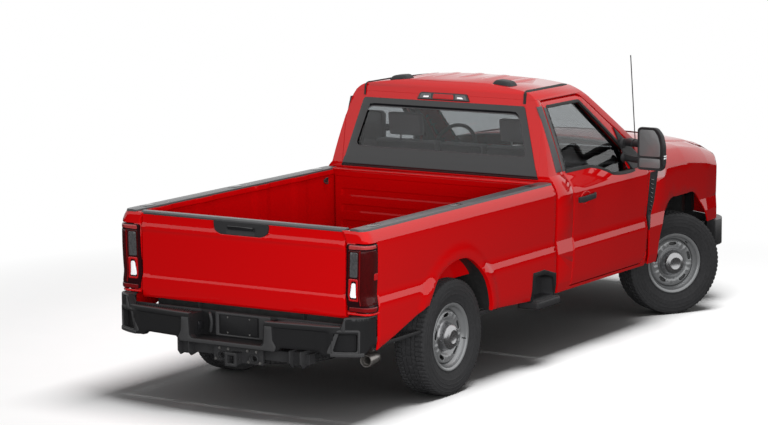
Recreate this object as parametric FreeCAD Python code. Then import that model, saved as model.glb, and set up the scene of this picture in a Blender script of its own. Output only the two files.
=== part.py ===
import FreeCAD, Part
import math
import os

# Regular-cab, long-box, heavy-duty pickup truck, in millimetres.
# +X points forward, +Y to the truck's left, +Z up. The pieces are drawn with the front
# axle's middle at X = 0, and each is saved moved along X, so that the origin lies on the
# ground under the middle of the truck's overall box. Every piece is one file in parts.

V = FreeCAD.Vector

# Driving sizes of the whole truck
overall_length = 5888
wheelbase = 3597
front_overhang = 970
body_width = 2032
mirror_reach = 329
roof_z = 1990
tyre_radius = 405
steer_rest_deg = -33

frame_inset = 584
half_width = body_width / 2
frame_half = half_width - frame_inset
front_axle_x = 0
rear_axle_x = front_axle_x - wheelbase
front_end_x = front_axle_x + front_overhang
rear_end_x = front_end_x - overall_length
axle_z = tyre_radius

# Clearances and overruns shared by all pieces
panel_gap = 6
seat_gap = 0.3
overrun = 60

# Body heights above the ground, from the sill up
sill_z = 494
tuck_z = 560
low_crease_z = 777
waist_z = 870
shoulder_z = 1205
rail_z = 1303
belt_z = 1339
window_top_z = 1839
gutter_z = 1935

# How far the body side lies inside its widest line at those heights
sill_inset = 16
tuck_inset = 4
waist_inset = 16
hip_inset = 8
shoulder_inset = 4
rail_inset = 40
belt_inset = 81
window_top_inset = 216
gutter_inset = 326

# Lengths along the truck
rear_bumper_reach = 190
cab_gap = 30
cab_rear_x = -2183
cab_front_x = -644
door_rear_x = -1974
door_front_x = -730
door_bottom_z = 522
door_top_z = 1868
door_middle_x = (door_rear_x + door_front_x) / 2
box_front_x = cab_rear_x - cab_gap
box_rear_x = rear_end_x + rear_bumper_reach
box_length = box_front_x - box_rear_x

# Wall thicknesses
door_thickness = 150
post_thickness = 50
roof_thickness = 40
skin = 12
glass_thickness = 5


def lift_xy(z):
    return lambda a, b: V(a, b, z)


def lift_xz(y):
    return lambda a, b: V(a, y, b)


def lift_yz(x):
    return lambda a, b: V(x, a, b)


def spread(shares, x0, x1, z0, z1):
    """Turns an outline's shares into lengths between two sizes each way."""
    made = []
    for step in shares:
        if isinstance(step, list):
            made.append(spread(step, x0, x1, z0, z1))
        else:
            made.append((x0 + (x1 - x0) * step[0], z0 + (z1 - z0) * step[1]))
    return made


def segments(path):
    """Corners are pairs. A list of two pairs is an arc, through the first to the second."""
    found = []
    here = path[0]
    for step in path[1:]:
        if isinstance(step, list):
            found.append((here, step[0], step[1]))
            here = step[1]
        else:
            found.append((here, None, step))
            here = step
    return found


def closed(path):
    """The segments of a path, with a straight one added where it doesn't end at its start."""
    parts = segments(path)
    if parts[-1][2] != path[0]:
        parts.append((parts[-1][2], None, path[0]))
    return parts


def wire_of(parts, lift):
    made = []
    for start, middle, end in parts:
        if middle is None:
            made.append(Part.LineSegment(lift(*start), lift(*end)).toShape())
        else:
            made.append(Part.Arc(lift(*start), lift(*middle), lift(*end)).toShape())
    return Part.Wire(made)


def symmetric(path, crown):
    """A half path from the bottom to the top at +Y, closed by an arc over the crown."""
    half = segments(path)
    top = half[-1][2]
    parts = half + [(top, (0, crown), (-top[0], top[1]))]
    for start, middle, end in reversed(half):
        turned = None if middle is None else (-middle[0], middle[1])
        parts.append(((-end[0], end[1]), turned, (-start[0], start[1])))
    parts.append(((-path[0][0], path[0][1]), None, path[0]))
    return parts


def plate_xz(path, y0, y1):
    return Part.Face(wire_of(closed(path), lift_xz(y0))).extrude(V(0, y1 - y0, 0))


def plate_yz(path, x0, x1):
    return Part.Face(wire_of(closed(path), lift_yz(x0))).extrude(V(x1 - x0, 0, 0))


def plate_xy(path, z0, z1):
    return Part.Face(wire_of(closed(path), lift_xy(z0))).extrude(V(0, 0, z1 - z0))


def grown(path, gap, y0, y1):
    """The prism of an XZ outline made larger all round by a gap."""
    flat = wire_of(closed(path), lift_xz(y0)).makeOffset2D(gap)
    return Part.Face(flat).extrude(V(0, y1 - y0, 0))


def block(x0, x1, y0, y1, z0, z1):
    return Part.makeBox(x1 - x0, y1 - y0, z1 - z0, V(x0, y0, z0))


def rod(start, end, radius):
    along = end - start
    return Part.makeCylinder(radius, along.Length, start, along)


def ring(start, end, outer, inner):
    return rod(start, end, outer).cut(rod(start, end, inner))


def right(shape):
    """The mirror image, for the truck's other side."""
    return shape.mirror(V(0, 0, 0), V(0, 1, 0))


def pair(shape):
    return Part.makeCompound([shape, right(shape)])


def union(shapes):
    return shapes[0].multiFuse(shapes[1:]).removeSplitter()


def save(name, shape):
    placed = shape.copy()
    placed.translate(V(overall_length / 2 - front_end_x, 0, 0))
    placed.exportStep("parts/" + name + ".step")


def save_pair(name, shape):
    save(name + "_left", shape)
    save(name + "_right", right(shape))


def swept(points, bend, radius):
    """A round bar along straight runs joined by tangent arcs."""
    corners = [V(*point) for point in points]
    here = corners[0]
    made = []
    for index in range(1, len(corners) - 1):
        corner = corners[index]
        back = (corners[index - 1] - corner).normalize()
        ahead = (corners[index + 1] - corner).normalize()
        half_turn = (math.pi - back.getAngle(ahead)) / 2
        reach = bend * math.tan(half_turn)
        inward = (back + ahead).normalize()
        middle = corner + inward * (bend / math.cos(half_turn) - bend)
        made.append(Part.LineSegment(here, corner + back * reach).toShape())
        made.append(Part.Arc(corner + back * reach, middle, corner + ahead * reach).toShape())
        here = corner + ahead * reach
    made.append(Part.LineSegment(here, corners[-1]).toShape())
    circle = Part.Wire([Part.makeCircle(radius, corners[0], corners[1] - corners[0])])
    return Part.Wire(made).makePipeShell([circle], True, True)


# Body side, as seen from the front, from the sill to the shoulder
side_low = [
    (half_width - sill_inset, sill_z),
    (half_width - tuck_inset, tuck_z),
    (half_width, low_crease_z),
    (half_width - waist_inset, waist_z),
    [(half_width - hip_inset, (waist_z + shoulder_z) / 2), (half_width - shoulder_inset, shoulder_z)],
]
shoulder_point = side_low[-1][1]
belt_point = (half_width - belt_inset, belt_z)
window_top_point = (half_width - window_top_inset, window_top_z)
gutter_point = (half_width - gutter_inset, gutter_z)
shoulder_round = 12
pillar_round = 8
gutter_round = 16


def bulged(a, b, outward):
    """The middle of an arc from a to b that swells to the outside of the body."""
    run = math.hypot(b[0] - a[0], b[1] - a[1])
    return (
        (a[0] + b[0]) / 2 + outward * (b[1] - a[1]) / run,
        (a[1] + b[1]) / 2 + outward * (a[0] - b[0]) / run,
    )


cab_side_high = [
    [bulged(shoulder_point, belt_point, shoulder_round), belt_point],
    [bulged(belt_point, window_top_point, pillar_round), window_top_point],
    [bulged(window_top_point, gutter_point, gutter_round), gutter_point],
]

# Cab outline, as seen from the side
cab_back_lean = 96
cab_back_top_z = 1915
roof_front_x = -1393
roof_front_z = 1945
roof_front_run = 160
roof_rear_run = 110
windshield_foot_x = -455
windshield_foot_z = 1318
windshield_sagitta = 50
windshield_side = 241
windshield_half = half_width - windshield_side
cowl_z = 1262
inner_half = half_width - waist_inset - door_thickness + shoulder_inset


def windshield_drum(inset):
    """A large cylinder along the slope of the glass, which gives the windshield its curve."""
    radius = (windshield_half ** 2 + windshield_sagitta ** 2) / (2 * windshield_sagitta)
    foot = V(windshield_foot_x, 0, windshield_foot_z)
    top = V(roof_front_x, 0, roof_front_z)
    along = (foot - top).normalize()
    outward = V(-along.z, 0, along.x)
    start = top - outward * radius - along * overall_length
    return Part.makeCylinder(radius - inset, 2 * overall_length, start, along)


def cab_side_path(inset):
    """The side view of the cab, drawn in by a wall's thickness for its hollow."""
    bottom = sill_z if inset == 0 else 0
    lean_x = cab_rear_x + cab_back_lean
    return [
        (cab_rear_x + inset, bottom),
        (cab_rear_x + inset, belt_z),
        (lean_x + inset, cab_back_top_z),
        [
            (lean_x + inset + roof_rear_run / 4, roof_z - inset - (roof_z - cab_back_top_z) / 3),
            (lean_x + inset + roof_rear_run, roof_z - inset),
        ],
        (roof_front_x - roof_front_run - inset, roof_z - inset),
        (roof_front_x - inset, roof_front_z - inset),
        (windshield_foot_x - inset * 2, windshield_foot_z - inset / 2),
        (cab_front_x - inset, cowl_z - inset),
        (cab_front_x - inset, bottom),
    ]


def cab_outer():
    front_parts = symmetric(side_low + cab_side_high, roof_z)
    front = Part.Face(wire_of(front_parts, lift_yz(cab_rear_x)))
    front = front.extrude(V(windshield_foot_x - cab_rear_x, 0, 0))
    side = plate_xz(cab_side_path(0), -half_width, half_width)
    return front.common(side).common(windshield_drum(0))


def cab_inner():
    path = [
        (inner_half, 0),
        (inner_half, belt_z),
        (window_top_point[0] - post_thickness, window_top_point[1]),
        (gutter_point[0] - post_thickness, gutter_point[1] - roof_thickness),
    ]
    front = Part.Face(wire_of(symmetric(path, roof_z - roof_thickness), lift_yz(cab_rear_x)))
    front = front.extrude(V(windshield_foot_x - cab_rear_x, 0, 0))
    side = plate_xz(cab_side_path(roof_thickness), -half_width, half_width)
    return front.common(side).common(windshield_drum(roof_thickness))


# Door, window and cut-line outlines, as shares of the door's length and height
door_shares = [
    (-0.013, 0),
    [(0.0225, 0.236), (0.027, 0.463)],
    (0.006, 0.607),
    (-0.051, 0.985),
    [(-0.047, 0.9955), (-0.032, 1)],
    (0.378, 1),
    [(0.402, 0.997), (0.422, 0.9866)],
    (0.761, 0.761),
    (0.9936, 0.587),
    (0.995, 0.5037),
    (0.964, 0.2437),
    (0.964, 0.132),
    [(0.9486, 0.0505), (0.894, 0)],
]
window_shares = [
    (0.0466, 0.6174),
    (-0.005, 0.955),
    [(0.001, 0.962), (0.016, 0.963)],
    (0.363, 0.962),
    [(0.386, 0.958), (0.4035, 0.946)],
    (0.80, 0.6553),
    (0.82, 0.545),
    [(0.691, 0.5423), (0.5547, 0.5542)],
    [(0.450, 0.593), (0.3376, 0.615)],
]
door_path = spread(door_shares, door_rear_x, door_front_x, door_bottom_z, door_top_z)
window_path = spread(window_shares, door_rear_x, door_front_x, door_bottom_z, door_top_z)
post_zone_shares = [
    (1.01, 1),
    (1.01, 0.5037),
    (0.97, 0.2437),
    (0.97, 0.132),
    (0.90, -0.3),
    (1.3, -0.3),
    (1.3, 1),
]
post_inset = 44
hinge_low_z = 720
hinge_high_z = 1090
hinge_height = 90
hinge_width = 60
striker_z = 1010
striker_height = 24
striker_reach = 34
striker_width = 40
striker_root = 30
glass_inset = 24


def door_opening(gap):
    return grown(door_path, gap, 0, half_width + overrun)


def hinge_leaves():
    """Folded hinge leaves in the gap ahead of the door, which stop just short of it."""
    filled = door_opening(panel_gap).cut(door_opening(seat_gap))
    kept = []
    for low in (hinge_low_z, hinge_high_z):
        zone = block(
            door_middle_x, door_front_x + overrun,
            inner_half + hinge_width / 2, inner_half + hinge_width * 3 / 2,
            low, low + hinge_height,
        )
        kept.append(filled.common(zone))
    return kept


def striker(grow):
    """The latch's striker on the rear post, and with a growth its slot in the door."""
    rear_x = door_path[1][1][0] - striker_root - panel_gap
    return block(
        rear_x, rear_x + striker_root + panel_gap + striker_reach + grow * panel_gap / seat_gap,
        inner_half - grow * overrun, inner_half + striker_width + grow * panel_gap / seat_gap,
        striker_z - grow, striker_z + striker_height + grow,
    )


def make_cab_sides(shell):
    side_zone = block(
        cab_rear_x - overrun, windshield_foot_x + overrun,
        roof_split_y, half_width + overrun, 0, roof_z + overrun,
    )
    side = shell.common(side_zone)
    fender_zone = plate_xz(
        spread(post_zone_shares, door_rear_x, door_front_x, door_bottom_z, door_top_z),
        half_width - post_inset, half_width + overrun,
    )
    side = side.cut(door_opening(panel_gap)).cut(fender_zone).cut(windshield_cut(0))
    side = side.cut(cab_back_zone()).cut(cab_roof_zone())
    return union([side, striker(0)] + hinge_leaves())


# Roof, back panel and glass
roof_split_inset = 376
roof_split_y = half_width - roof_split_inset
roof_split_z = 1880
back_split_inset = 170
back_split_y = half_width - back_split_inset
sheet_gap = 0.5
glass_recess = 8
rear_glass_low_z = 1330
rear_glass_high_z = 1815
rear_glass_low_inset = 216
rear_glass_low_half = half_width - rear_glass_low_inset
rear_glass_high_inset = 346
rear_glass_high_half = half_width - rear_glass_high_inset
windshield_low_inset = 216
windshield_low_half = half_width - windshield_low_inset
windshield_high_inset = 376
windshield_high_half = half_width - windshield_high_inset
header_depth = 60


def cab_roof_zone():
    return block(
        cab_rear_x - overrun, roof_front_x + roof_thickness,
        -gutter_point[0] - sheet_gap, gutter_point[0] + sheet_gap,
        roof_split_z, roof_z + overrun,
    )


def cab_back_zone():
    return plate_xz([
        (cab_rear_x - overrun, floor_z),
        (cab_rear_x + post_thickness, floor_z),
        (cab_rear_x + post_thickness, belt_z),
        (cab_rear_x + post_thickness + cab_back_lean, roof_split_z),
        (cab_rear_x - overrun, roof_split_z),
    ], -back_split_y, back_split_y)


def windshield_cut(grow):
    """The hole for the windshield, square to its slope."""
    foot = V(windshield_foot_x, 0, windshield_foot_z)
    top = V(roof_front_x, 0, roof_front_z)
    along = (top - foot).normalize()
    outward = V(along.z, 0, -along.x)
    low = foot - along * overrun
    high = top - along * header_depth
    corners = [
        low + V(0, windshield_low_half, 0),
        high + V(0, windshield_high_half, 0),
        high - V(0, windshield_high_half, 0),
        low - V(0, windshield_low_half, 0),
    ]
    flat = Part.makePolygon(corners + [corners[0]])
    if grow:
        flat = flat.makeOffset2D(grow)
    face = Part.Face(flat)
    face.translate(outward * -overrun * 3)
    return face.extrude(outward * overrun * 6)


def make_cab_roof(shell):
    roof = shell.common(block(
        cab_rear_x - overrun, roof_front_x + roof_thickness,
        -gutter_point[0], gutter_point[0], roof_split_z, roof_z + overrun,
    ))
    save("cab_roof", roof.cut(windshield_cut(0)))


def rear_window(x0, x1):
    return plate_yz([
        (-rear_glass_low_half, rear_glass_low_z),
        (rear_glass_low_half, rear_glass_low_z),
        (rear_glass_high_half, rear_glass_high_z),
        (-rear_glass_high_half, rear_glass_high_z),
    ], x0, x1)


def make_cab_back(shell):
    back = shell.common(cab_back_zone())
    back = back.cut(rear_window(cab_rear_x - overrun, cab_rear_x + cab_back_lean + overrun * 2))
    save("cab_back", back)


def make_cab_glass():
    depth = glass_recess
    pane = cab_outer().common(windshield_drum(depth)).cut(windshield_drum(depth + glass_thickness))
    windshield = pane.common(windshield_cut(0)).common(block(
        roof_front_x - header_depth, windshield_foot_x, -half_width, half_width, cowl_z, roof_z,
    ))
    lean = plate_xz([
        (cab_rear_x + depth, sill_z),
        (cab_rear_x + depth, belt_z),
        (cab_rear_x + depth + cab_back_lean, cab_back_top_z),
        (cab_rear_x + depth + cab_back_lean + glass_thickness, cab_back_top_z),
        (cab_rear_x + depth + glass_thickness, belt_z),
        (cab_rear_x + depth + glass_thickness, sill_z),
    ], -half_width, half_width)
    rear = lean.common(rear_window(cab_rear_x, cab_rear_x + cab_back_lean + overrun * 2))
    save("cab_glass", Part.makeCompound([windshield, rear]))


def side_slab(inner_path, x0, x1):
    """A slab of the cab's side between its outside and an inner line."""
    path = side_low + cab_side_high + inner_path
    return plate_yz(path, x0, x1)


def cab_slab():
    return side_slab([
        (window_top_point[0] - post_thickness, window_top_point[1]),
        (inner_half, belt_z),
        (inner_half, sill_z),
    ], cab_rear_x, cab_front_x)


def make_doors():
    slab = cab_slab()
    door = slab.common(plate_xz(door_path, 0, half_width + overrun))
    door = door.cut(plate_xz(window_path, 0, half_width + overrun)).cut(striker(seat_gap))
    save_pair("door", door)
    outer = glass_inset
    run = window_top_point[1] - belt_point[1]
    slope = (belt_point[0] - window_top_point[0]) / run
    low_z = door_path[-2][1] - overrun
    low_y = belt_point[0] + slope * (belt_point[1] - low_z)
    high_y = window_top_point[0] - slope * (door_top_z - window_top_point[1])
    pane = plate_yz([
        (low_y - outer, low_z),
        (high_y - outer, door_top_z),
        (high_y - outer - glass_thickness, door_top_z),
        (low_y - outer - glass_thickness, low_z),
    ], cab_rear_x, cab_front_x)
    save_pair("door_glass", pane.common(plate_xz(window_path, 0, half_width + overrun)))


# Cab floor, firewall and what stands in the cab
floor_z = 705
floor_thickness = 40
tunnel_half = 230
tunnel_z = 870
toe_x = -914
toe_rise_z = 900
firewall_x = -724
firewall_top_z = 1215
rocker_inset = 178
rocker_half = half_width - rocker_inset
rocker_setback = 60


def make_cab_floor():
    back_x = cab_rear_x + post_thickness + sheet_gap
    top_z = floor_z + floor_thickness
    pan = plate_xz([
        (back_x, floor_z),
        (toe_x, floor_z),
        (firewall_x, toe_rise_z),
        (firewall_x, firewall_top_z),
        (firewall_x - floor_thickness / 2, firewall_top_z),
        (firewall_x - floor_thickness / 2, toe_rise_z + floor_thickness / 2),
        (toe_x - floor_thickness / 2, top_z),
        (back_x, top_z),
    ], -rocker_half, rocker_half)
    hump = block(back_x, firewall_x, -tunnel_half, tunnel_half, floor_z, tunnel_z)
    hollow = block(
        back_x - overrun, firewall_x + overrun,
        skin - tunnel_half, tunnel_half - skin, floor_z - overrun, tunnel_z - skin,
    )
    inner = plate_xz([
        (back_x - overrun, floor_z - overrun),
        (toe_x, floor_z - overrun),
        (toe_x, floor_z),
        (firewall_x, toe_rise_z),
        (firewall_x + overrun, toe_rise_z),
        (firewall_x + overrun, tunnel_z + overrun),
        (back_x - overrun, tunnel_z + overrun),
    ], skin - tunnel_half, tunnel_half - skin)
    pan = pan.fuse(hump).cut(hollow.common(inner.fuse(block(
        back_x - overrun, firewall_x + overrun, -tunnel_half, tunnel_half, floor_z, tunnel_z))))
    rocker = block(
        back_x, firewall_x - rocker_setback, rocker_half - floor_thickness, rocker_half, sill_z, top_z,
    )
    ledge = block(
        back_x, firewall_x - rocker_setback, rocker_half - floor_thickness, inner_half - seat_gap,
        sill_z, door_bottom_z - panel_gap,
    )
    return union([pan, rocker, ledge, right(rocker), right(ledge)])


# Seats, in the cab's middle: a cushion and a back with a head restraint for each place
seat_front_x = -1334
seat_back_foot_x = -1784
seat_back_lean = 80
seat_back_thickness = 130
cushion_low_z = 900
cushion_top_z = 1060
seat_back_top_z = 1490
head_rest_low_z = 1525
head_rest_top_z = 1700
head_rest_thickness = 90
seat_centre_inset = 531
seat_centre_y = half_width - seat_centre_inset
seat_width = 540
middle_width = 380
head_rest_width = 280
seat_base_inset = 60
post_radius = 7
post_spread = 60
post_root = 60


def seat_side(x_shift, low, high, lean, depth):
    return [
        (x_shift, low),
        (x_shift + depth, low),
        (x_shift + depth - lean, high),
        (x_shift - lean, high),
    ]


def make_seats():
    made = []
    for centre, width in ((seat_centre_y, seat_width), (0, middle_width), (-seat_centre_y, seat_width)):
        y0 = centre - width / 2
        y1 = centre + width / 2
        cushion = plate_xz([
            (seat_back_foot_x, cushion_low_z),
            (seat_front_x, cushion_low_z),
            [(seat_front_x + post_spread / 2, cushion_low_z + post_spread),
             (seat_front_x, cushion_top_z)],
            (seat_back_foot_x, cushion_top_z - post_spread / 2),
        ], y0, y1)
        back_low = cushion_top_z - post_spread / 2
        lean = seat_back_lean
        back = plate_xz(
            seat_side(seat_back_foot_x, back_low, seat_back_top_z, lean, seat_back_thickness), y0, y1)
        base = block(
            seat_back_foot_x, seat_front_x - seat_base_inset,
            y0 + seat_base_inset, y1 - seat_base_inset,
            tunnel_z if centre == 0 else floor_z + floor_thickness, cushion_low_z,
        )
        parts = [cushion, back, base]
        if centre != 0:
            head_x = seat_back_foot_x - lean
            head = plate_xz(
                seat_side(head_x, head_rest_low_z, head_rest_top_z, lean / 3, head_rest_thickness),
                centre - head_rest_width / 2, centre + head_rest_width / 2)
            parts.append(head)
            for side in (-post_spread, post_spread):
                foot = V(head_x + head_rest_thickness / 2, centre + side, seat_back_top_z - post_root)
                post_height = post_root + head_rest_low_z - seat_back_top_z + skin
                parts.append(rod(foot, foot + V(0, 0, post_height), post_radius))
        made.append(union(parts))
    save("seats", Part.makeCompound(made))


# Dashboard and steering wheel
dash_rear_x = -1104
dash_low_z = 1000
dash_top_z = 1290
dash_lip_z = 1120
dash_fold = 60
dash_inset = 216
dash_half = half_width - dash_inset
column_inset = 650
column_y = half_width - column_inset
column_tilt_deg = 24
wheel_hub_x = -1319
wheel_hub_z = 1385
steering_wheel_radius = 192
steering_rim_radius = 15
steering_hub_radius = 62
steering_spoke_width = 34
steering_spoke_thickness = 16
column_radius = 42
column_length = 240
screen_half = 150
screen_thickness = 24
screen_height = 190
cluster_height = 46
cluster_half = 170


def make_dashboard():
    front_x = firewall_x - floor_thickness / 2 - sheet_gap
    body = plate_xz([
        (dash_rear_x + screen_height / 2, dash_low_z),
        (front_x, dash_low_z + dash_fold),
        (front_x, firewall_top_z),
        (front_x + dash_fold, dash_top_z - skin * 2),
        (dash_rear_x + dash_fold, dash_top_z),
        [(dash_rear_x + skin, dash_top_z - skin), (dash_rear_x, dash_top_z - dash_fold)],
        (dash_rear_x + dash_fold / 2, dash_lip_z),
    ], -dash_half, dash_half)
    cluster = plate_xz([
        (dash_rear_x + skin, dash_top_z - dash_fold),
        (dash_rear_x + dash_fold * 3, dash_top_z - skin),
        (dash_rear_x + dash_fold * 2, dash_top_z + skin),
        [(dash_rear_x + dash_fold, dash_top_z + cluster_height), (dash_rear_x, dash_top_z + skin)],
    ], column_y - cluster_half, column_y + cluster_half)
    screen = block(
        dash_rear_x - screen_thickness, dash_rear_x + dash_fold,
        -screen_half, screen_half, dash_lip_z + skin, dash_lip_z + skin + screen_height,
    )
    tilt = math.radians(column_tilt_deg)
    hub = V(wheel_hub_x, column_y, wheel_hub_z)
    along = V(math.cos(tilt), 0, -math.sin(tilt))
    back = hub + along * (steering_rim_radius * 2 + seat_gap)
    column = rod(back, back + along * column_length, column_radius)
    made = union([body, cluster, screen, column])
    save("dashboard", made)


def hoop(centre, along, radius, section_radius):
    """A ring about a direction, with a section of eight sides."""
    sides = 8
    upward = V(along.z, 0, -along.x)
    corners = []
    for index in range(sides + 1):
        turn = 2 * math.pi * (index + 1 / 2) / sides
        corners.append(
            centre + upward * (radius + section_radius * math.cos(turn))
            + along * section_radius * math.sin(turn))
    return Part.Face(Part.makePolygon(corners)).revolve(centre, along, 360)


def make_steering_wheel():
    tilt = math.radians(column_tilt_deg)
    hub = V(wheel_hub_x, column_y, wheel_hub_z)
    along = V(math.cos(tilt), 0, -math.sin(tilt))
    rim = hoop(hub, along, steering_wheel_radius - steering_rim_radius, steering_rim_radius)
    centre = rod(hub - along * steering_rim_radius, hub + along * steering_rim_radius * 2,
                 steering_hub_radius)
    pieces = [rim, centre]
    upward = V(math.sin(tilt), 0, math.cos(tilt))
    for side, drop in ((1, 0), (-1, 0), (0, 1)):
        way = V(0, side, 0) - upward * drop
        across = along.cross(way)
        corner = hub - across * (steering_spoke_width / 2) - along * (steering_spoke_thickness / 2)
        face = Part.makePolygon([
            corner, corner + across * steering_spoke_width,
            corner + across * steering_spoke_width + along * steering_spoke_thickness,
            corner + along * steering_spoke_thickness, corner,
        ])
        pieces.append(Part.Face(face).extrude(way * (steering_wheel_radius - steering_rim_radius)))
    save("steering_wheel", union(pieces))


# Front body, from the door to the grille. Each station gives the share of its length,
# and how far its points lie below the cowl as shares of the front's fall
clip_front_x = 866
clip_fall = 150
hood_valley_inset = 256
hood_valley_half = half_width - hood_valley_inset
hood_bulge_inset = 471
hood_bulge_half = half_width - hood_bulge_inset
fender_crown_inset = 92
hood_crown_z = 1420
clip_station_shares = [
    (0, 0, 0.53, 0.29, 0.14, 0.04),
    (0.19, 0.004, 0.55, 0.29, 0.12, 0),
    (0.41, 0.01, 0.63, 0.34, 0.15, 0.03),
    (0.66, 0.02, 0.97, 0.57, 0.40, 0.30),
    (0.825, 0.04, 1.37, 0.95, 0.79, 0.68),
    (1, 0.08, 2.0, 1.5, 1.36, 1.26),
]
clip_corner_y_shares = [0.62, 0.83, 0.975]
clip_corner_x_shares = [0.965, 0.90, 0.775]


def clip_half(shares, inset, drop):
    """One station's half outline, from the sill over the fender to the hood's middle."""
    along, taper, fender, valley, bulge, centre = shares
    narrow = half_width * taper + inset
    path = []
    for step in side_low:
        if isinstance(step, list):
            path.append([(a[0] - narrow, a[1]) for a in step])
        else:
            path.append((step[0] - narrow, step[1]))
    top_fall = clip_fall * max(0, fender - clip_station_shares[2][2])
    last = path[-1]
    lowered = [(last[0][0], last[0][1] - top_fall / 2), (last[1][0], last[1][1] - top_fall)]
    path[-1] = lowered
    shoulder = lowered[1]
    crown = (half_width - narrow - fender_crown_inset, hood_crown_z - clip_fall * fender - drop)
    valley_point = (hood_valley_half - narrow / 2, hood_crown_z - clip_fall * valley - drop)
    bulge_point = (hood_bulge_half, hood_crown_z - clip_fall * bulge - drop)
    path.append([bulged(shoulder, crown, shoulder_round), crown])
    path.append(valley_point)
    path.append(bulge_point)
    return path, hood_crown_z - clip_fall * centre - drop


def clip_solid(inset, drop):
    wires = []
    for shares in clip_station_shares:
        x = door_front_x + (clip_front_x - door_front_x) * shares[0]
        path, crown = clip_half(shares, inset, drop)
        wires.append(wire_of(symmetric(path, crown), lift_yz(x)))
    body = Part.makeLoft(wires, True, True)
    nose = clip_front_x - inset
    corner = []
    for y_share, x_share in zip(clip_corner_y_shares, clip_corner_x_shares):
        corner.append((door_front_x + (nose - door_front_x) * x_share, (half_width - inset) * y_share))
    mirrored_corner = [(x, -y) for x, y in corner]
    plan = plate_xy([
        (door_front_x, half_width),
        (corner[2][0] - inset, half_width),
        corner[2],
        corner[1],
        corner[0],
        [(nose, 0), mirrored_corner[0]],
        mirrored_corner[1],
        mirrored_corner[2],
        (corner[2][0] - inset, -half_width),
        (door_front_x, -half_width),
    ], 0, roof_z)
    return body.common(plan)


# Front wheel arch, as shares of the tyre's radius from the axle
front_arch_shares = [
    (-1.55, -1),
    (-1.45, 0.2),
    [(-1.22, 0.95), (-1.0, 1.22)],
    [(-0.86, 1.34), (-0.62, 1.365)],
    (-0.05, 1.365),
    [(0.22, 1.34), (0.42, 1.22)],
    [(0.72, 0.9), (0.92, 0.45)],
    (1.02, -1),
]
rear_arch_shares = [
    (1.14, -1),
    (1.14, 0.3),
    [(0.85, 1.0), (0.30, 1.335)],
    [(-0.38, 1.26), (-0.98, 0.72)],
    (-1.28, 0.1),
    (-1.34, -1),
]


def arch_path(shares, axle_x):
    made = []
    for step in shares:
        if isinstance(step, list):
            made.append([(axle_x + tyre_radius * a, axle_z + tyre_radius * b) for a, b in step])
        else:
            made.append((axle_x + tyre_radius * step[0], axle_z + tyre_radius * step[1]))
    return made


front_arch = arch_path(front_arch_shares, front_axle_x)
rear_arch = arch_path(rear_arch_shares, rear_axle_x)

# Hood, fenders, grille and lamps
hood_rear_x = -529
hood_side_inset = 224
hood_half = half_width - hood_side_inset
hood_thickness = 30
hood_low_z = 1165
fender_low_front_z = 684
lamp_low_z = 860
lamp_high_z = 1150
lamp_inner_inset = 361
lamp_inner_half = half_width - lamp_inner_inset
lamp_rear_x = 546
lamp_depth = 110
lamp_tab_x = 691
lamp_tab_z = 960
grille_inset = 368
grille_half = half_width - grille_inset
grille_low_z = 684
grille_open_z = 810
grille_high_z = 1155
grille_depth = 60
grille_bar_count = 3
grille_bar_height = 46
grille_post_half = 22
vent_shares = [
    (1.006, 0.506),
    (1.119, 0.506),
    (1.078, 0.34),
    (0.981, 0.135),
    (0.969, 0.2437),
    (0.999, 0.48),
]
vent_depth = 20


def hood_zone(gap):
    return block(
        hood_rear_x - gap, clip_front_x + overrun, -hood_half - gap, hood_half + gap,
        hood_low_z - gap, roof_z,
    )


def lamp_zone(gap):
    return block(
        lamp_rear_x - gap, clip_front_x + overrun, lamp_inner_half - gap, half_width + overrun,
        lamp_low_z - gap, lamp_high_z + gap,
    )


def grille_zone(gap):
    return block(
        lamp_rear_x, clip_front_x + overrun, -grille_half - gap, grille_half + gap,
        grille_low_z - gap, grille_high_z + gap,
    )


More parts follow.
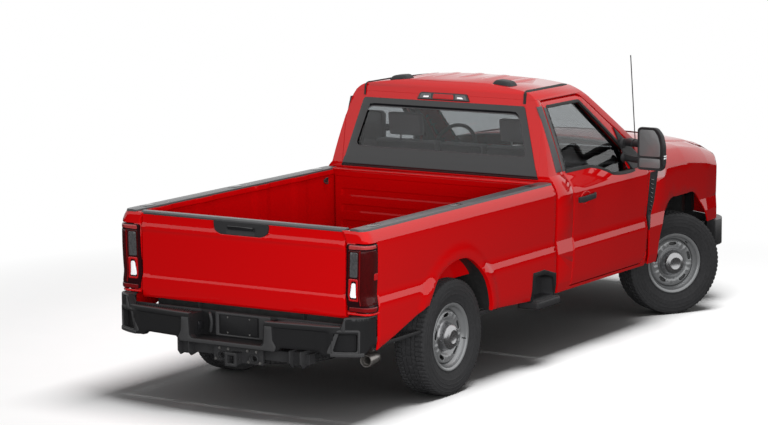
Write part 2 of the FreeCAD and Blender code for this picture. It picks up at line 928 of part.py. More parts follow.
def make_front(outer, inner, cab, cab_side):
    """Hood, fenders, cowl, grille and lamps, cut from one shell."""
    shell = outer.cut(inner)
    hood = outer.cut(clip_solid(hood_thickness, hood_thickness)).common(hood_zone(0))
    save("hood", hood)
    vent_path = spread(vent_shares, door_rear_x, door_front_x, door_bottom_z, door_top_z)
    half = shell.common(block(
        door_middle_x, clip_front_x + overrun, 0, half_width + overrun, sill_z, roof_z))
    fender = half.cut(hood_zone(panel_gap)).cut(lamp_zone(panel_gap / 2)).cut(grille_zone(panel_gap / 2))
    fender = fender.cut(plate_xz(front_arch, 0, half_width + overrun))
    fender = fender.cut(door_opening(panel_gap))
    fender = fender.cut(block(
        door_middle_x, cab_front_x, 0, half_width - post_inset, 0, roof_z))
    cowl_zone = block(
        door_front_x, hood_rear_x - panel_gap, -hood_half - panel_gap, hood_half + panel_gap,
        cowl_z, roof_z)
    save("cowl", shell.common(cowl_zone).cut(cab))
    fender = fender.cut(cowl_zone).cut(cab_side)
    fender = fender.cut(block(
        front_axle_x, clip_front_x + overrun, 0, half_width + overrun, 0, fender_low_front_z))
    vent = plate_xz(vent_path, half_width - vent_depth - skin, half_width + overrun)
    vents = half.common(vent).cut(door_opening(panel_gap)).cut(cab_side)
    save("fender_vents", pair(vents))
    fender = fender.cut(grown(vent_path, seat_gap, 0, half_width + overrun))
    save_pair("fender", fender)
    lamp = outer.common(lamp_zone(0)).cut(moved(outer, -lamp_depth, 0, 0))
    lamp = lamp.cut(hood_zone(panel_gap))
    tab = block(
        support_x + support_thickness + seat_gap, lamp_tab_x, support_half - support_bar / 2,
        lamp_inner_half + support_bar / 2, lamp_tab_z, lamp_tab_z + support_bar / 2)
    save("headlamps", pair(union([lamp, tab])))
    slab = outer.common(grille_zone(0)).cut(moved(outer, -grille_depth, 0, 0))
    slab = slab.cut(hood_zone(panel_gap))
    cuts = []
    rows = grille_bar_count + 1
    pitch = (grille_high_z - grille_open_z) / rows
    for row in range(rows):
        low = grille_open_z + pitch * row
        for side in (-1, 1):
            near = side * grille_post_half
            far = side * (grille_half - grille_bar_height)
            cuts.append(block(
                lamp_rear_x, clip_front_x + overrun, min(near, far), max(near, far),
                low, low + pitch - grille_bar_height,
            ))
    tab = outer.common(block(
        support_x + support_thickness + seat_gap, clip_front_x, -support_bar / 2, support_bar / 2,
        grille_open_z - support_bar, grille_open_z - support_bar / 2))
    save("grille", union([slab.cut(Part.makeCompound(cuts)), tab]))


def moved(shape, dx, dy, dz):
    copy = shape.copy()
    copy.translate(V(dx, dy, dz))
    return copy


# Radiator support and inner aprons behind the panels
apron_outward = 60
apron_half = frame_half + apron_outward
apron_low_z = 690
apron_top_z = 1120
support_x = 586
support_thickness = 50
support_low_z = 700
support_top_z = 1130
support_inset = 376
support_half = half_width - support_inset
support_bar = 70
hood_stop_rear_run = 75
hood_stop_rear_inset = 416
hood_stop_front_run = 80
hood_stop_front_inset = 456
hood_stop_radius = 14


def make_front_support(under_hood):
    apron = block(
        cab_front_x + panel_gap, support_x, apron_half - skin, apron_half, apron_low_z, apron_top_z)
    ledge = block(
        cab_front_x + panel_gap, support_x, apron_half, hood_half - skin * 2,
        apron_top_z - skin, apron_top_z,
    )
    outer = block(
        support_x, support_x + support_thickness, -support_half, support_half,
        support_low_z, support_top_z,
    )
    hole = block(
        support_x - overrun, support_x + support_thickness + overrun,
        support_bar - support_half, support_half - support_bar,
        support_low_z + support_bar, support_top_z - support_bar,
    )
    core = block(
        support_x + support_thickness / 4, support_x + support_thickness * 3 / 4,
        support_bar - support_half, support_half - support_bar,
        support_low_z + support_bar, support_top_z - support_bar,
    )
    foot = block(
        support_x, support_x + support_thickness, frame_half - rail_width + skin,
        frame_half - skin, rail_front_top_z + seat_gap, support_low_z + skin,
    )
    parts = [outer.cut(hole), core]
    hood_stops = [
        (hood_rear_x + hood_stop_rear_run, half_width - hood_stop_rear_inset),
        (support_x - hood_stop_front_run, half_width - hood_stop_front_inset),
    ]
    for x, y in hood_stops:
        post = rod(V(x, y, apron_top_z - skin), V(x, y, roof_z), hood_stop_radius)
        side = [apron, ledge, foot, post.common(moved(under_hood, 0, 0, -seat_gap))]
        parts += side + [right(piece) for piece in side]
    return union(parts)


# Front bumper, as shares of its length and half width seen from above
bumper_low_z = 470
bumper_high_z = 676
bumper_thickness = 70
bumper_rear_x = 446
bumper_outer_shares = [
    (0, 0.985),
    [(0.34, 0.965), (0.62, 0.84)],
    (0.94, 0.56),
]
bumper_slot_half = 420
bumper_slot_low_z = 530
bumper_slot_high_z = 610
fog_inset = 326
fog_y = half_width - fog_inset
fog_half = 75
fog_rear_x = 589
front_arm_inward = 35
front_arm_y = frame_half - front_arm_inward
front_arm_half = 25
front_arm_low_z = 616
front_arm_high_z = 660


def bumper_plan(inset):
    run = front_end_x - inset
    points = spread(bumper_outer_shares, bumper_rear_x, run, 0, half_width - inset)
    back = [(x, -y) for x, y in [points[2], points[1][1]]]
    return points + [[(run, 0), back[0]], back[1]] + [
        [(points[1][0][0], -points[1][0][1]), (points[0][0], -points[0][1])]]


def make_front_bumper():
    outer = plate_xy(bumper_plan(0), bumper_low_z, bumper_high_z)
    inner = plate_xy(bumper_plan(bumper_thickness), 0, roof_z)
    shell = outer.cut(inner).cut(block(
        bumper_rear_x - overrun, bumper_rear_x + skin, -half_width / 2, half_width / 2, 0, roof_z))
    slot = block(
        bumper_rear_x + overrun * 2, front_end_x + overrun, -bumper_slot_half, bumper_slot_half,
        bumper_slot_low_z, bumper_slot_high_z,
    )
    fog = block(
        fog_rear_x, front_end_x + overrun, fog_y - fog_half, fog_y + fog_half,
        bumper_slot_low_z, bumper_slot_high_z,
    )
    shell = shell.cut(slot).cut(fog).cut(right(fog))
    arm = block(
        rail_front_x + seat_gap, front_end_x - bumper_thickness,
        front_arm_y - front_arm_half, front_arm_y + front_arm_half, front_arm_low_z, front_arm_high_z,
    )
    return union([shell, arm, right(arm)])


# Cargo box: floor, front wall, sides, rails and tailgate
box_floor_z = 785
box_floor_thickness = 24
box_inset = 144
box_half = half_width - box_inset
box_wall = 34
house_inset = 366
house_half = half_width - house_inset
house_wall = 12
rib_count = 9
rib_height = 10
rib_width = 90
sill_beam_width = 70
sill_beam_count = 5
gate_inset = 190
gate_half = half_width - gate_inset
gate_thickness = 60
gate_low_z = 704
gate_top_z = 1285
gate_foot_depth = 16
gate_foot_height = 60
gate_field_depth = 9
gate_field_edge = 50
gate_field_low_z = 842
gate_field_high_z = 1172
gate_crease = 16
gate_ledge_z = 1200
gate_ledge_depth = 13
gate_handle_half = 224
gate_handle_foot_half = 170
gate_handle_low_z = 1190
gate_grip_half = 115
gate_grip_low_z = 1200
gate_grip_high_z = 1244
gate_grip_depth = 11
gate_hinge_inset = 50
gate_hinge_x = box_rear_x + gate_hinge_inset
gate_hinge_z = 740
gate_pin_radius = 12
gate_pin_length = 14
floor_rear_clear = 66
rail_cap_height = 14
rail_inner_half = box_half
rear_pillar_depth = 64
rear_pillar_x = box_rear_x + rear_pillar_depth
lamp_tail_low_z = 753
lamp_tail_high_z = 1204
lamp_tail_inset = 180
lamp_tail_inner = half_width - lamp_tail_inset
lamp_tail_depth = 114
lamp_tail_front_x = box_rear_x + lamp_tail_depth


def box_side_path():
    """One side of the cargo box, seen from behind."""
    outer_top = half_width - rail_inset
    return side_low + [
        [bulged(shoulder_point, (outer_top, rail_z - rail_cap_height), shoulder_round),
         (outer_top, rail_z - rail_cap_height)],
        (box_half, rail_z - rail_cap_height),
        (box_half, sill_z),
    ]


def tail_lamp_zone(gap):
    return block(
        box_rear_x - overrun, lamp_tail_front_x + gap, lamp_tail_inner - gap, half_width + overrun,
        lamp_tail_low_z - gap, lamp_tail_high_z + gap,
    )


rear_corner_round = 60
rear_corner_depth = 18
flare_width = 42
flare_rise = 8


def make_box_side():
    slab = plate_yz(box_side_path(), box_rear_x, box_front_x)
    pillar = block(
        box_rear_x, rear_pillar_x, gate_half + panel_gap, box_half,
        gate_low_z, rail_z - rail_cap_height,
    )
    side = slab.fuse(pillar)
    corner = plate_xy([
        (box_rear_x - overrun, half_width + overrun),
        (box_rear_x - overrun, half_width - rear_corner_round),
        (box_rear_x, half_width - rear_corner_round),
        [
            (box_rear_x + rear_corner_depth, half_width - rear_corner_depth),
            (box_rear_x + rear_corner_round, half_width),
        ],
        (box_rear_x + rear_corner_round, half_width + overrun),
    ], 0, roof_z)
    side = side.cut(corner)
    flare = grown(rear_arch, flare_width, box_half, half_width + overrun)
    flare = flare.common(moved(slab, 0, flare_rise, 0))
    flare = flare.common(block(
        rear_axle_x - tyre_radius * 2, rear_axle_x + tyre_radius * 2, box_half, half_width + overrun,
        sill_z, shoulder_z))
    body = side.fuse(flare).cut(tail_lamp_zone(seat_gap))
    body = body.cut(plate_xz(rear_arch, 0, half_width + overrun))
    step_hole = block(
        step_rear_x - panel_gap, step_front_x + panel_gap, 0, half_width + overrun,
        0, step_arch_z,
    )
    body = body.cut(step_hole).cut(block(
        box_rear_x - overrun, rear_bumper_wrap_x + panel_gap, 0, half_width + overrun,
        0, rear_bumper_corner_z + panel_gap))
    pin = rod(
        V(gate_hinge_x, gate_half - gate_pin_length, gate_hinge_z),
        V(gate_hinge_x, gate_half + panel_gap + skin, gate_hinge_z), gate_pin_radius)
    return union([body, pin]), side.common(tail_lamp_zone(0))


# Step recess behind the cab, at the foot of each box side
step_length = 351
step_front_x = box_front_x
step_rear_x = step_front_x - step_length
step_arch_z = 560
step_low_z = 429
step_out = 24
step_depth = 160
tread_height = 60


def make_box_steps():
    """A black step below the box side, hung from a bracket."""
    tread = block(
        step_rear_x + skin, step_front_x - skin, half_width + step_out - step_depth,
        half_width + step_out, step_low_z, step_low_z + tread_height,
    )
    back = block(
        step_rear_x + skin, step_front_x - skin, half_width + step_out - step_depth,
        half_width + step_out - step_depth + skin * 2, step_low_z, step_arch_z - seat_gap,
    )
    return union([tread, back])


def beam_x(index):
    pitch = (box_length - gate_thickness - floor_rear_clear * 3) / (sill_beam_count - 1)
    return box_rear_x + gate_thickness + floor_rear_clear * 3 / 2 + pitch * index


def make_box_floor():
    low_z = box_floor_z - box_floor_thickness
    sill_beam_height = low_z - rail_arch_top_z - seat_gap
    rear_x = box_rear_x + gate_thickness + panel_gap
    sheet = block(rear_x, box_front_x - box_wall, -box_half, box_half, low_z, box_floor_z - rib_height)
    parts = [sheet]
    pitch = 2 * house_half / rib_count
    for index in range(rib_count):
        centre = -house_half + pitch * (index + 1 / 2)
        parts.append(block(
            rear_x, box_front_x - box_wall, centre - rib_width / 2, centre + rib_width / 2,
            box_floor_z - rib_height, box_floor_z,
        ))
    for index in range(sill_beam_count):
        x = beam_x(index)
        parts.append(block(
            x - sill_beam_width / 2, x + sill_beam_width / 2, -house_half, house_half,
            low_z - sill_beam_height, low_z))
    body = union(parts)
    arch = plate_xz(rear_arch, house_half, half_width)
    shell = grown(rear_arch, house_wall, house_half - house_wall, box_half)
    shell = shell.common(block(
        rear_axle_x - tyre_radius * 2, rear_axle_x + tyre_radius * 2, 0, half_width,
        low_z, roof_z))
    body = union([body, shell, right(shell)])
    return body.cut(arch).cut(right(arch))


def make_box_front():
    wall = block(
        box_front_x - box_wall, box_front_x, -box_half, box_half,
        rail_arch_top_z + seat_gap, rail_z - rail_cap_height,
    )
    return wall


def make_rail_caps():
    top = rail_z - rail_cap_height
    outer = half_width - rail_inset
    bar = block(box_rear_x, box_front_x, rail_inner_half, outer, top, rail_z)
    front = block(box_front_x - box_wall * 2, box_front_x, -rail_inner_half, rail_inner_half, top, rail_z)
    return union([bar, right(bar), front])


def make_tailgate():
    """A gate with a pressed field and ledge on its rear, and the handle's plate in the ledge."""
    inner_x = box_rear_x + gate_thickness
    ledge_x = box_rear_x + gate_ledge_depth
    gate = plate_xz([
        (box_rear_x + gate_foot_depth, gate_low_z),
        (box_rear_x, gate_low_z + gate_foot_height),
        (box_rear_x, gate_ledge_z),
        (ledge_x, gate_ledge_z + gate_crease),
        (ledge_x, gate_top_z),
        (inner_x, gate_top_z),
        (inner_x, gate_low_z),
    ], -gate_half, gate_half)
    field = plate_xz([
        (box_rear_x - overrun, gate_field_low_z),
        (box_rear_x, gate_field_low_z),
        (box_rear_x + gate_field_depth, gate_field_low_z + gate_crease),
        (box_rear_x + gate_field_depth, gate_field_high_z - gate_crease),
        (box_rear_x, gate_field_high_z),
        (box_rear_x - overrun, gate_field_high_z),
    ], gate_field_edge - gate_half, gate_half - gate_field_edge)
    handle = plate_yz([
        (-gate_handle_foot_half, gate_handle_low_z),
        (gate_handle_foot_half, gate_handle_low_z),
        (gate_handle_half, gate_ledge_z + gate_crease),
        (gate_handle_half, gate_top_z),
        (-gate_handle_half, gate_top_z),
        (-gate_handle_half, gate_ledge_z + gate_crease),
    ], box_rear_x, box_rear_x + gate_thickness / 2)
    grip = block(
        box_rear_x - overrun, box_rear_x + gate_grip_depth, -gate_grip_half, gate_grip_half,
        gate_grip_low_z, gate_grip_high_z,
    )
    hole = rod(
        V(gate_hinge_x, gate_half - gate_pin_length - panel_gap, gate_hinge_z),
        V(gate_hinge_x, gate_half + overrun, gate_hinge_z), gate_pin_radius + seat_gap)
    gate = union([gate.cut(field), handle])
    return gate.cut(grip).cut(hole).cut(right(hole))


# Rear bumper with a stepped top, and the hitch below it
rear_bumper_low_z = 470
rear_bumper_pad_z = 665
rear_bumper_corner_z = 728
rear_bumper_side_z = 531
rear_bumper_wrap = 104
rear_bumper_side_run = 60
rear_bumper_wrap_x = box_rear_x + rear_bumper_wrap
rear_bumper_thickness = 60
rear_pad_gap = 14
corner_inner_inset = 156
corner_inner_half = half_width - corner_inner_inset
rear_shares = [
    (0, 0.995),
    [(0.35, 0.99), (0.60, 0.94)],
    (0.86, 0.66),
    (1, 0.36),
]
pocket_depth = 40
pocket_inner_inset = 226
pocket_outer_inset = 58
pocket_low_z = 492
pocket_high_z = 622
pocket_lean = 24
notch_inner_y = 420
notch_outer_y = 740
notch_height = 26
plate_half = 312
plate_low_z = 505
plate_recess_depth = 164
plate_recess_x = rear_end_x + plate_recess_depth
step_pad_thickness = 30
bumper_arm_inward = 32
bumper_arm_y = frame_half - bumper_arm_inward
bumper_arm_half = 20
bumper_arm_low_z = 590
bumper_arm_high_z = 626


def rear_bumper_plan(inset):
    points = spread(rear_shares, rear_bumper_wrap_x, rear_end_x + inset, 0, half_width - inset)
    far_side = [(points[3][0], -points[3][1]), (points[2][0], -points[2][1])]
    far_side.append((points[1][1][0], -points[1][1][1]))
    far_side.append([(points[1][0][0], -points[1][0][1]), (points[0][0], -points[0][1])])
    return points + far_side


def make_rear_bumper():
    middle = plate_xy(rear_bumper_plan(0), rear_bumper_low_z, rear_bumper_pad_z)
    middle = middle.cut(plate_xy(
        rear_bumper_plan(rear_bumper_thickness), 0, rear_bumper_pad_z - step_pad_thickness))
    middle = middle.cut(block(
        box_rear_x - rear_pad_gap, rear_bumper_wrap_x + overrun, -half_width, half_width, 0, roof_z))
    corner = plate_xy(rear_bumper_plan(0), rear_bumper_low_z, rear_bumper_corner_z)
    corner = corner.cut(plate_xy(
        rear_bumper_plan(rear_bumper_thickness), 0, rear_bumper_corner_z - step_pad_thickness))
    corner = corner.common(block(
        rear_end_x, rear_bumper_wrap_x, corner_inner_half, half_width, 0, roof_z))
    corner = corner.cut(plate_xz([
        (rear_bumper_wrap_x + overrun, 0),
        (rear_bumper_wrap_x + overrun, rear_bumper_side_z),
        (rear_bumper_wrap_x - rear_bumper_side_run, rear_bumper_side_z),
        (box_rear_x - rear_bumper_side_run, 0),
    ], 0, half_width + overrun))
    pocket = plate_yz([
        (half_width - pocket_inner_inset, pocket_low_z),
        (half_width - pocket_outer_inset, pocket_low_z),
        (half_width - pocket_outer_inset, pocket_high_z),
        (half_width - pocket_inner_inset + pocket_lean, pocket_high_z),
    ], rear_end_x - overrun, box_rear_x)
    pocket = pocket.cut(plate_xy(rear_bumper_plan(pocket_depth), 0, roof_z))
    notch = plate_yz([
        (notch_inner_y, rear_bumper_low_z - overrun),
        (notch_inner_y, rear_bumper_low_z),
        (notch_inner_y + notch_height, rear_bumper_low_z + notch_height),
        (notch_outer_y - notch_height, rear_bumper_low_z + notch_height),
        (notch_outer_y, rear_bumper_low_z),
        (notch_outer_y, rear_bumper_low_z - overrun),
    ], rear_end_x - overrun, box_rear_x)
    recess = block(
        rear_end_x - overrun, plate_recess_x, -plate_half, plate_half, plate_low_z,
        rear_bumper_pad_z + overrun,
    )
    wall = block(
        plate_recess_x, box_rear_x - rear_pad_gap, -plate_half - skin, plate_half + skin,
        rear_bumper_low_z, rear_bumper_pad_z + step_pad_thickness / 2,
    )
    shelf = block(
        rear_end_x + rear_bumper_thickness / 2, plate_recess_x, -plate_half - skin,
        plate_half + skin, rear_bumper_low_z, rear_bumper_low_z + skin,
    )
    arm = block(
        rear_end_x + rear_bumper_thickness / 2, member_x(0) - cross_member_width / 2 - seat_gap,
        bumper_arm_y - bumper_arm_half, bumper_arm_y + bumper_arm_half,
        bumper_arm_low_z, bumper_arm_high_z,
    )
    half_cuts = [pocket, notch]
    body = union([middle, corner, right(corner)]).cut(recess)
    body = body.cut(Part.makeCompound(half_cuts + [right(piece) for piece in half_cuts]))
    return union([body, wall, shelf, arm, right(arm)])


receiver_z = 375
receiver_outer = 38
receiver_inner = 26
receiver_setback = 54
receiver_rear_x = rear_end_x + receiver_setback
receiver_length = 220
receiver_depth = 198
receiver_pin_setback = 45
receiver_pin_radius = 8
cross_outward = 98
cross_half = frame_half + cross_outward
cross_radius = 36
cross_z = 398
cross_setback = 244
cross_x = rear_end_x + cross_setback
hitch_plate_half = 200
hitch_plate_thickness = 14
hitch_plate_low_z = 335
hitch_plate_high_z = 440
hitch_plate_setback = 144
hitch_plate_x = rear_end_x + hitch_plate_setback
loop_y = 130
loop_inner = 18
hanger_thickness = 12


def make_hitch():
    """A cross tube under the frame's end, with a square receiver and two chain loops."""
    cross = block(
        cross_x - cross_radius, cross_x + cross_radius, -cross_half, cross_half,
        cross_z - cross_radius, cross_z + cross_radius,
    )
    tube = block(
        receiver_rear_x, receiver_rear_x + receiver_length, -receiver_outer, receiver_outer,
        receiver_z - receiver_outer, receiver_z + receiver_outer,
    )
    hole = block(
        receiver_rear_x - overrun, receiver_rear_x + receiver_depth,
        -receiver_inner, receiver_inner, receiver_z - receiver_inner, receiver_z + receiver_inner,
    )
    plate = block(
        hitch_plate_x, hitch_plate_x + hitch_plate_thickness, -hitch_plate_half, hitch_plate_half,
        hitch_plate_low_z, hitch_plate_high_z,
    )
    link = block(
        hitch_plate_x, cross_x, -receiver_outer - skin, receiver_outer + skin,
        hitch_plate_low_z, hitch_plate_high_z,
    )
    pin_hole = rod(
        V(receiver_rear_x + receiver_pin_setback, -receiver_outer, receiver_z),
        V(receiver_rear_x + receiver_pin_setback, receiver_outer, receiver_z), receiver_pin_radius)
    parts = [cross, tube, plate, link]
    cuts = [hole, pin_hole]
    for side in (-1, 1):
        centre = V(hitch_plate_x - overrun, side * loop_y, receiver_z)
        cuts.append(rod(centre, centre + V(overrun * 2, 0, 0), loop_inner))
        hanger_y = side * (frame_half - rail_width / 2)
        hanger = plate_xz([
            (cross_x - cross_radius, cross_z - cross_radius),
            (cross_x + cross_radius, cross_z - cross_radius),
            (member_x(0) + cross_member_width / 2, member_top_z - cross_member_height - seat_gap),
            (member_x(0) - cross_member_width / 2, member_top_z - cross_member_height - seat_gap),
        ], hanger_y - hanger_thickness / 2, hanger_y + hanger_thickness / 2)
        parts.append(hanger)
    return union(parts).cut(Part.makeCompound(cuts))


# Ladder frame
rail_width = 70
rail_wall = 8
rail_height = 160
rail_rear_setback = 294
rail_rear_x = rear_end_x + rail_rear_setback
rail_front_x = 766
rail_rear_top_z = 738
rail_mid_top_z = 700
rail_front_top_z = 676
rail_arch_top_z = 742
rail_kick_run = 300
rail_nose_run = 60
member_drop = 68
member_top_z = rail_mid_top_z - member_drop
cross_member_height = 90
cross_member_width = 80
cross_member_shares = [0.012, 0.13, 0.345, 0.46, 0.594, 0.915, 0.985]
outrigger_width = 80
outrigger_height = 50
outrigger_x_low = -1914
outrigger_x_high = -974
outrigger_length = 208
outrigger_reach = frame_half + outrigger_length


def member_x(index):
    return rail_rear_x + (rail_front_x - rail_rear_x) * cross_member_shares[index]


def rail_path(grow):
    top = [
        (rail_rear_x, rail_rear_top_z),
        (rear_axle_x - tyre_radius, rail_arch_top_z),
        (rear_axle_x + tyre_radius, rail_arch_top_z),
        (cab_rear_x - rail_kick_run, rail_mid_top_z),
        (front_axle_x - tyre_radius * 2, rail_mid_top_z),
        (front_axle_x - tyre_radius, rail_arch_top_z),
        (front_axle_x + tyre_radius, rail_arch_top_z),
        (support_x - rail_nose_run, rail_front_top_z),
        (rail_front_x, rail_front_top_z),
    ]
    low = [(x, z - rail_height) for x, z in reversed(top)]
    return [(x, z - grow) for x, z in top] + [(x, z + grow) for x, z in low]


def make_frame():
    rail = plate_xz(rail_path(0), frame_half - rail_width, frame_half)
    channel = plate_xz(rail_path(rail_wall), frame_half - rail_width * 2, frame_half - rail_wall)
    channel = channel.cut(block(
        cab_front_x, rail_front_x + overrun, 0, half_width, 0, roof_z))
    rail = rail.cut(channel)
    parts = [rail, right(rail)]
    for index in range(len(cross_member_shares)):
        x = member_x(index)
        parts.append(block(
            x - cross_member_width / 2, x + cross_member_width / 2,
            rail_wall - frame_half, frame_half - rail_wall,
            member_top_z - cross_member_height, member_top_z,
        ))
    parts.append(block(
        pitman_x - steering_box_half, pitman_x + steering_box_half,
        steering_box_inner_y, frame_half - rail_wall, steering_box_low_z, steering_box_top_z,
    ))
    for x in (outrigger_x_low, outrigger_x_high):
        arm = block(
            x - outrigger_width / 2, x + outrigger_width / 2, frame_half, outrigger_reach,
            rail_mid_top_z - outrigger_height, rail_mid_top_z,
        )
        cushion = rod(
            V(x, outrigger_reach - outrigger_width / 2, rail_mid_top_z),
            V(x, outrigger_reach - outrigger_width / 2, floor_z - seat_gap), outrigger_width / 3)
        parts += [arm, cushion, right(arm), right(cushion)]
    return union(parts)


# Engine block with gearbox, set between the rails
engine_x0 = -554
engine_x1 = 206
engine_inward = 132
engine_half = frame_half - engine_inward
engine_low_z = 560
engine_top_z = 1180
gearbox_x0 = -1354
gearbox_half = 150
gearbox_low_z = 455
gearbox_top_z = 800
gearbox_taper = 30
transfer_x1 = -1114
transfer_inward = 182
transfer_half = frame_half - transfer_inward
transfer_low_z = 440
transfer_top_z = 640
engine_mount_x = -274
engine_mount_width = 110
engine_mount_z = 610
engine_mount_height = 70


def make_engine():
    main = block(engine_x0, engine_x1, -engine_half, engine_half, engine_low_z, engine_top_z)
    gearbox = plate_xz([
        (gearbox_x0, gearbox_low_z + gearbox_taper),
        (engine_x0, gearbox_low_z),
        (engine_x0, gearbox_top_z + gearbox_taper),
        (gearbox_x0, gearbox_top_z - gearbox_taper * 2),
    ], -gearbox_half, gearbox_half)
    transfer = block(
        gearbox_x0, transfer_x1, -transfer_half, gearbox_half, transfer_low_z, transfer_top_z)
    mount = block(
        engine_mount_x, engine_mount_x + engine_mount_width, 0,
        frame_half - rail_width - seat_gap, engine_mount_z, engine_mount_z + engine_mount_height,
    )
    return union([main, gearbox, transfer, mount, right(mount)])


# Wheels. Their profile runs from the inner side to the outer side of the wheel's middle.
track_front_inset = 297
track_front = body_width - track_front_inset
track_rear_inset = 325
track_rear = body_width - track_rear_inset
tyre_width = 245
rim_lip_radius = 235
bead_radius = 219
rim_width = 204
rim_well_radius = 178
rim_wall = 7
hub_face_offset = 38
disc_radius = 190
hub_cap_radius = 66
hub_cap_out = 127
bolt_circle_radius = 85
hand_hole_count = 5
hand_hole_radius = 150
hand_hole_length = 66
hand_hole_width = 36
tyre_shoulder_drop = 14
tyre_tread_share = 0.9
tyre_wall = 22


def revolved(path, centre):
    """Turns a profile of radius and offset pairs about the wheel's axle."""
    face = Part.Face(wire_of(closed(path), lambda a, b: V(centre.x + a, centre.y + b, centre.z)))
    return face.revolve(centre, V(0, 1, 0), 360)


def make_tyre(centre):
    half = tyre_width / 2
    bead = rim_width / 2 - rim_wall - seat_gap
    middle = (tyre_radius + rim_lip_radius) / 2
    side = [
        (bead_radius, bead - rim_wall * 2),
        (bead_radius, bead),
        (rim_lip_radius + rim_wall, bead),
        (middle - rim_wall * 2, half),
        (middle + rim_wall * 4, half - rim_wall / 2),
        (tyre_radius - tyre_shoulder_drop, half * tyre_tread_share),
        (tyre_radius, half * tyre_tread_share - tyre_shoulder_drop),
    ]
    hollow = [
        (tyre_radius - tyre_wall, half * tyre_tread_share - tyre_wall),
        (middle, half - tyre_wall),
    ]
    path = side + [(a, -b) for a, b in reversed(side)]
    path += [(a, -b) for a, b in reversed(hollow)] + hollow
    return revolved(path, centre)


def hand_hole(centre):
    """An oval hole through the disc, above the wheel's middle."""
    end_radius = hand_hole_width / 2
    reach = hand_hole_length / 2 - end_radius
    middle_z = centre.z + hand_hole_radius
    return plate_xz([
        (centre.x - reach, middle_z - end_radius),
        (centre.x + reach, middle_z - end_radius),
        [(centre.x + reach + end_radius, middle_z), (centre.x + reach, middle_z + end_radius)],
        (centre.x - reach, middle_z + end_radius),
        [(centre.x - reach - end_radius, middle_z), (centre.x - reach, middle_z - end_radius)],
    ], centre.y - rim_width / 2, centre.y + rim_width / 2)


def make_rim(centre, outward):
    lip = rim_width / 2
    path = [
        (bead_radius - seat_gap, -lip + rim_wall * 2),
        (bead_radius - seat_gap, rim_wall - lip),
        (rim_lip_radius, rim_wall - lip),
        (rim_lip_radius, -lip),
        (bead_radius - rim_wall, -lip),
        (bead_radius - rim_wall, rim_wall * 2 - lip),
        (rim_well_radius - rim_wall, -rim_wall * 3),
        (rim_well_radius - rim_wall, 0),
        (disc_radius - rim_wall * 3, hub_face_offset / 2),
        (hand_hole_radius, hub_face_offset + rim_wall * 3),
        (bolt_circle_radius + rim_wall * 4, hub_face_offset),
        (0, hub_face_offset),
        (0, hub_cap_out),
        (hub_cap_radius - rim_wall, hub_cap_out),
        (hub_cap_radius, hub_cap_out - rim_wall),
        (hub_cap_radius + rim_wall, hub_face_offset + rim_wall * 2),
        (bolt_circle_radius + rim_wall * 4, hub_face_offset + rim_wall * 2),
        (hand_hole_radius, hub_face_offset + rim_wall * 5),
        (disc_radius - rim_wall * 2, hub_face_offset / 2 + rim_wall * 2),
        (rim_well_radius, rim_wall * 3),
        (bead_radius - rim_wall, lip - rim_wall * 2),
        (bead_radius - rim_wall, lip),
        (rim_lip_radius, lip),
        (rim_lip_radius, lip - rim_wall),
        (bead_radius - seat_gap, lip - rim_wall),
        (bead_radius - seat_gap, lip - rim_wall * 2),
        (rim_well_radius + rim_wall, rim_wall * 3),
        (rim_well_radius + rim_wall, -rim_wall * 3),
    ]
    rim = revolved([(a, b * outward) for a, b in path], centre)
    holes = []
    for index in range(hand_hole_count):
        slot = hand_hole(centre)
        slot.rotate(centre, V(0, 1, 0), 360 / hand_hole_count * index)
        holes.append(slot)
    return rim.cut(Part.makeCompound(holes))


def steered(shape, kingpin):
    """Turns a front piece about its kingpin to the parked steering angle."""
    turned = shape.copy()
    turned.rotate(kingpin, V(0, 0, 1), steer_rest_deg)
    return turned


# Axles, steering knuckles and linkage
kingpin_offset = 136.5
kingpin_half = track_front / 2 - kingpin_offset
axle_tube_radius = 48
rear_tube_radius = 52
front_diff_radius = 130
rear_diff_radius = 165
front_diff_y = -200
hub_radius = 98
hub_outward = 30
rotor_radius = 165
rotor_thickness = 28
yoke_height = 108
yoke_thickness = 26
yoke_width = 90
yoke_gap = 6
pin_radius = 20
carrier_width = 84
arm_drop = 40
steering_arm_length = 210
arm_thickness = 26
arm_width = 44
tie_radius = 17
tie_eye_radius = 24


def kingpin_at(side):
    return V(front_axle_x, side * kingpin_half, axle_z)


def housing(centre, radius, tube):
    """The round housing of an axle's ring gear, tapering to its tube on both sides."""
    return revolved([
        (0, -radius),
        (tube, -radius),
        (radius, -radius / 3),
        (radius, radius / 3),
        (tube, radius),
        (0, radius),
    ], centre)


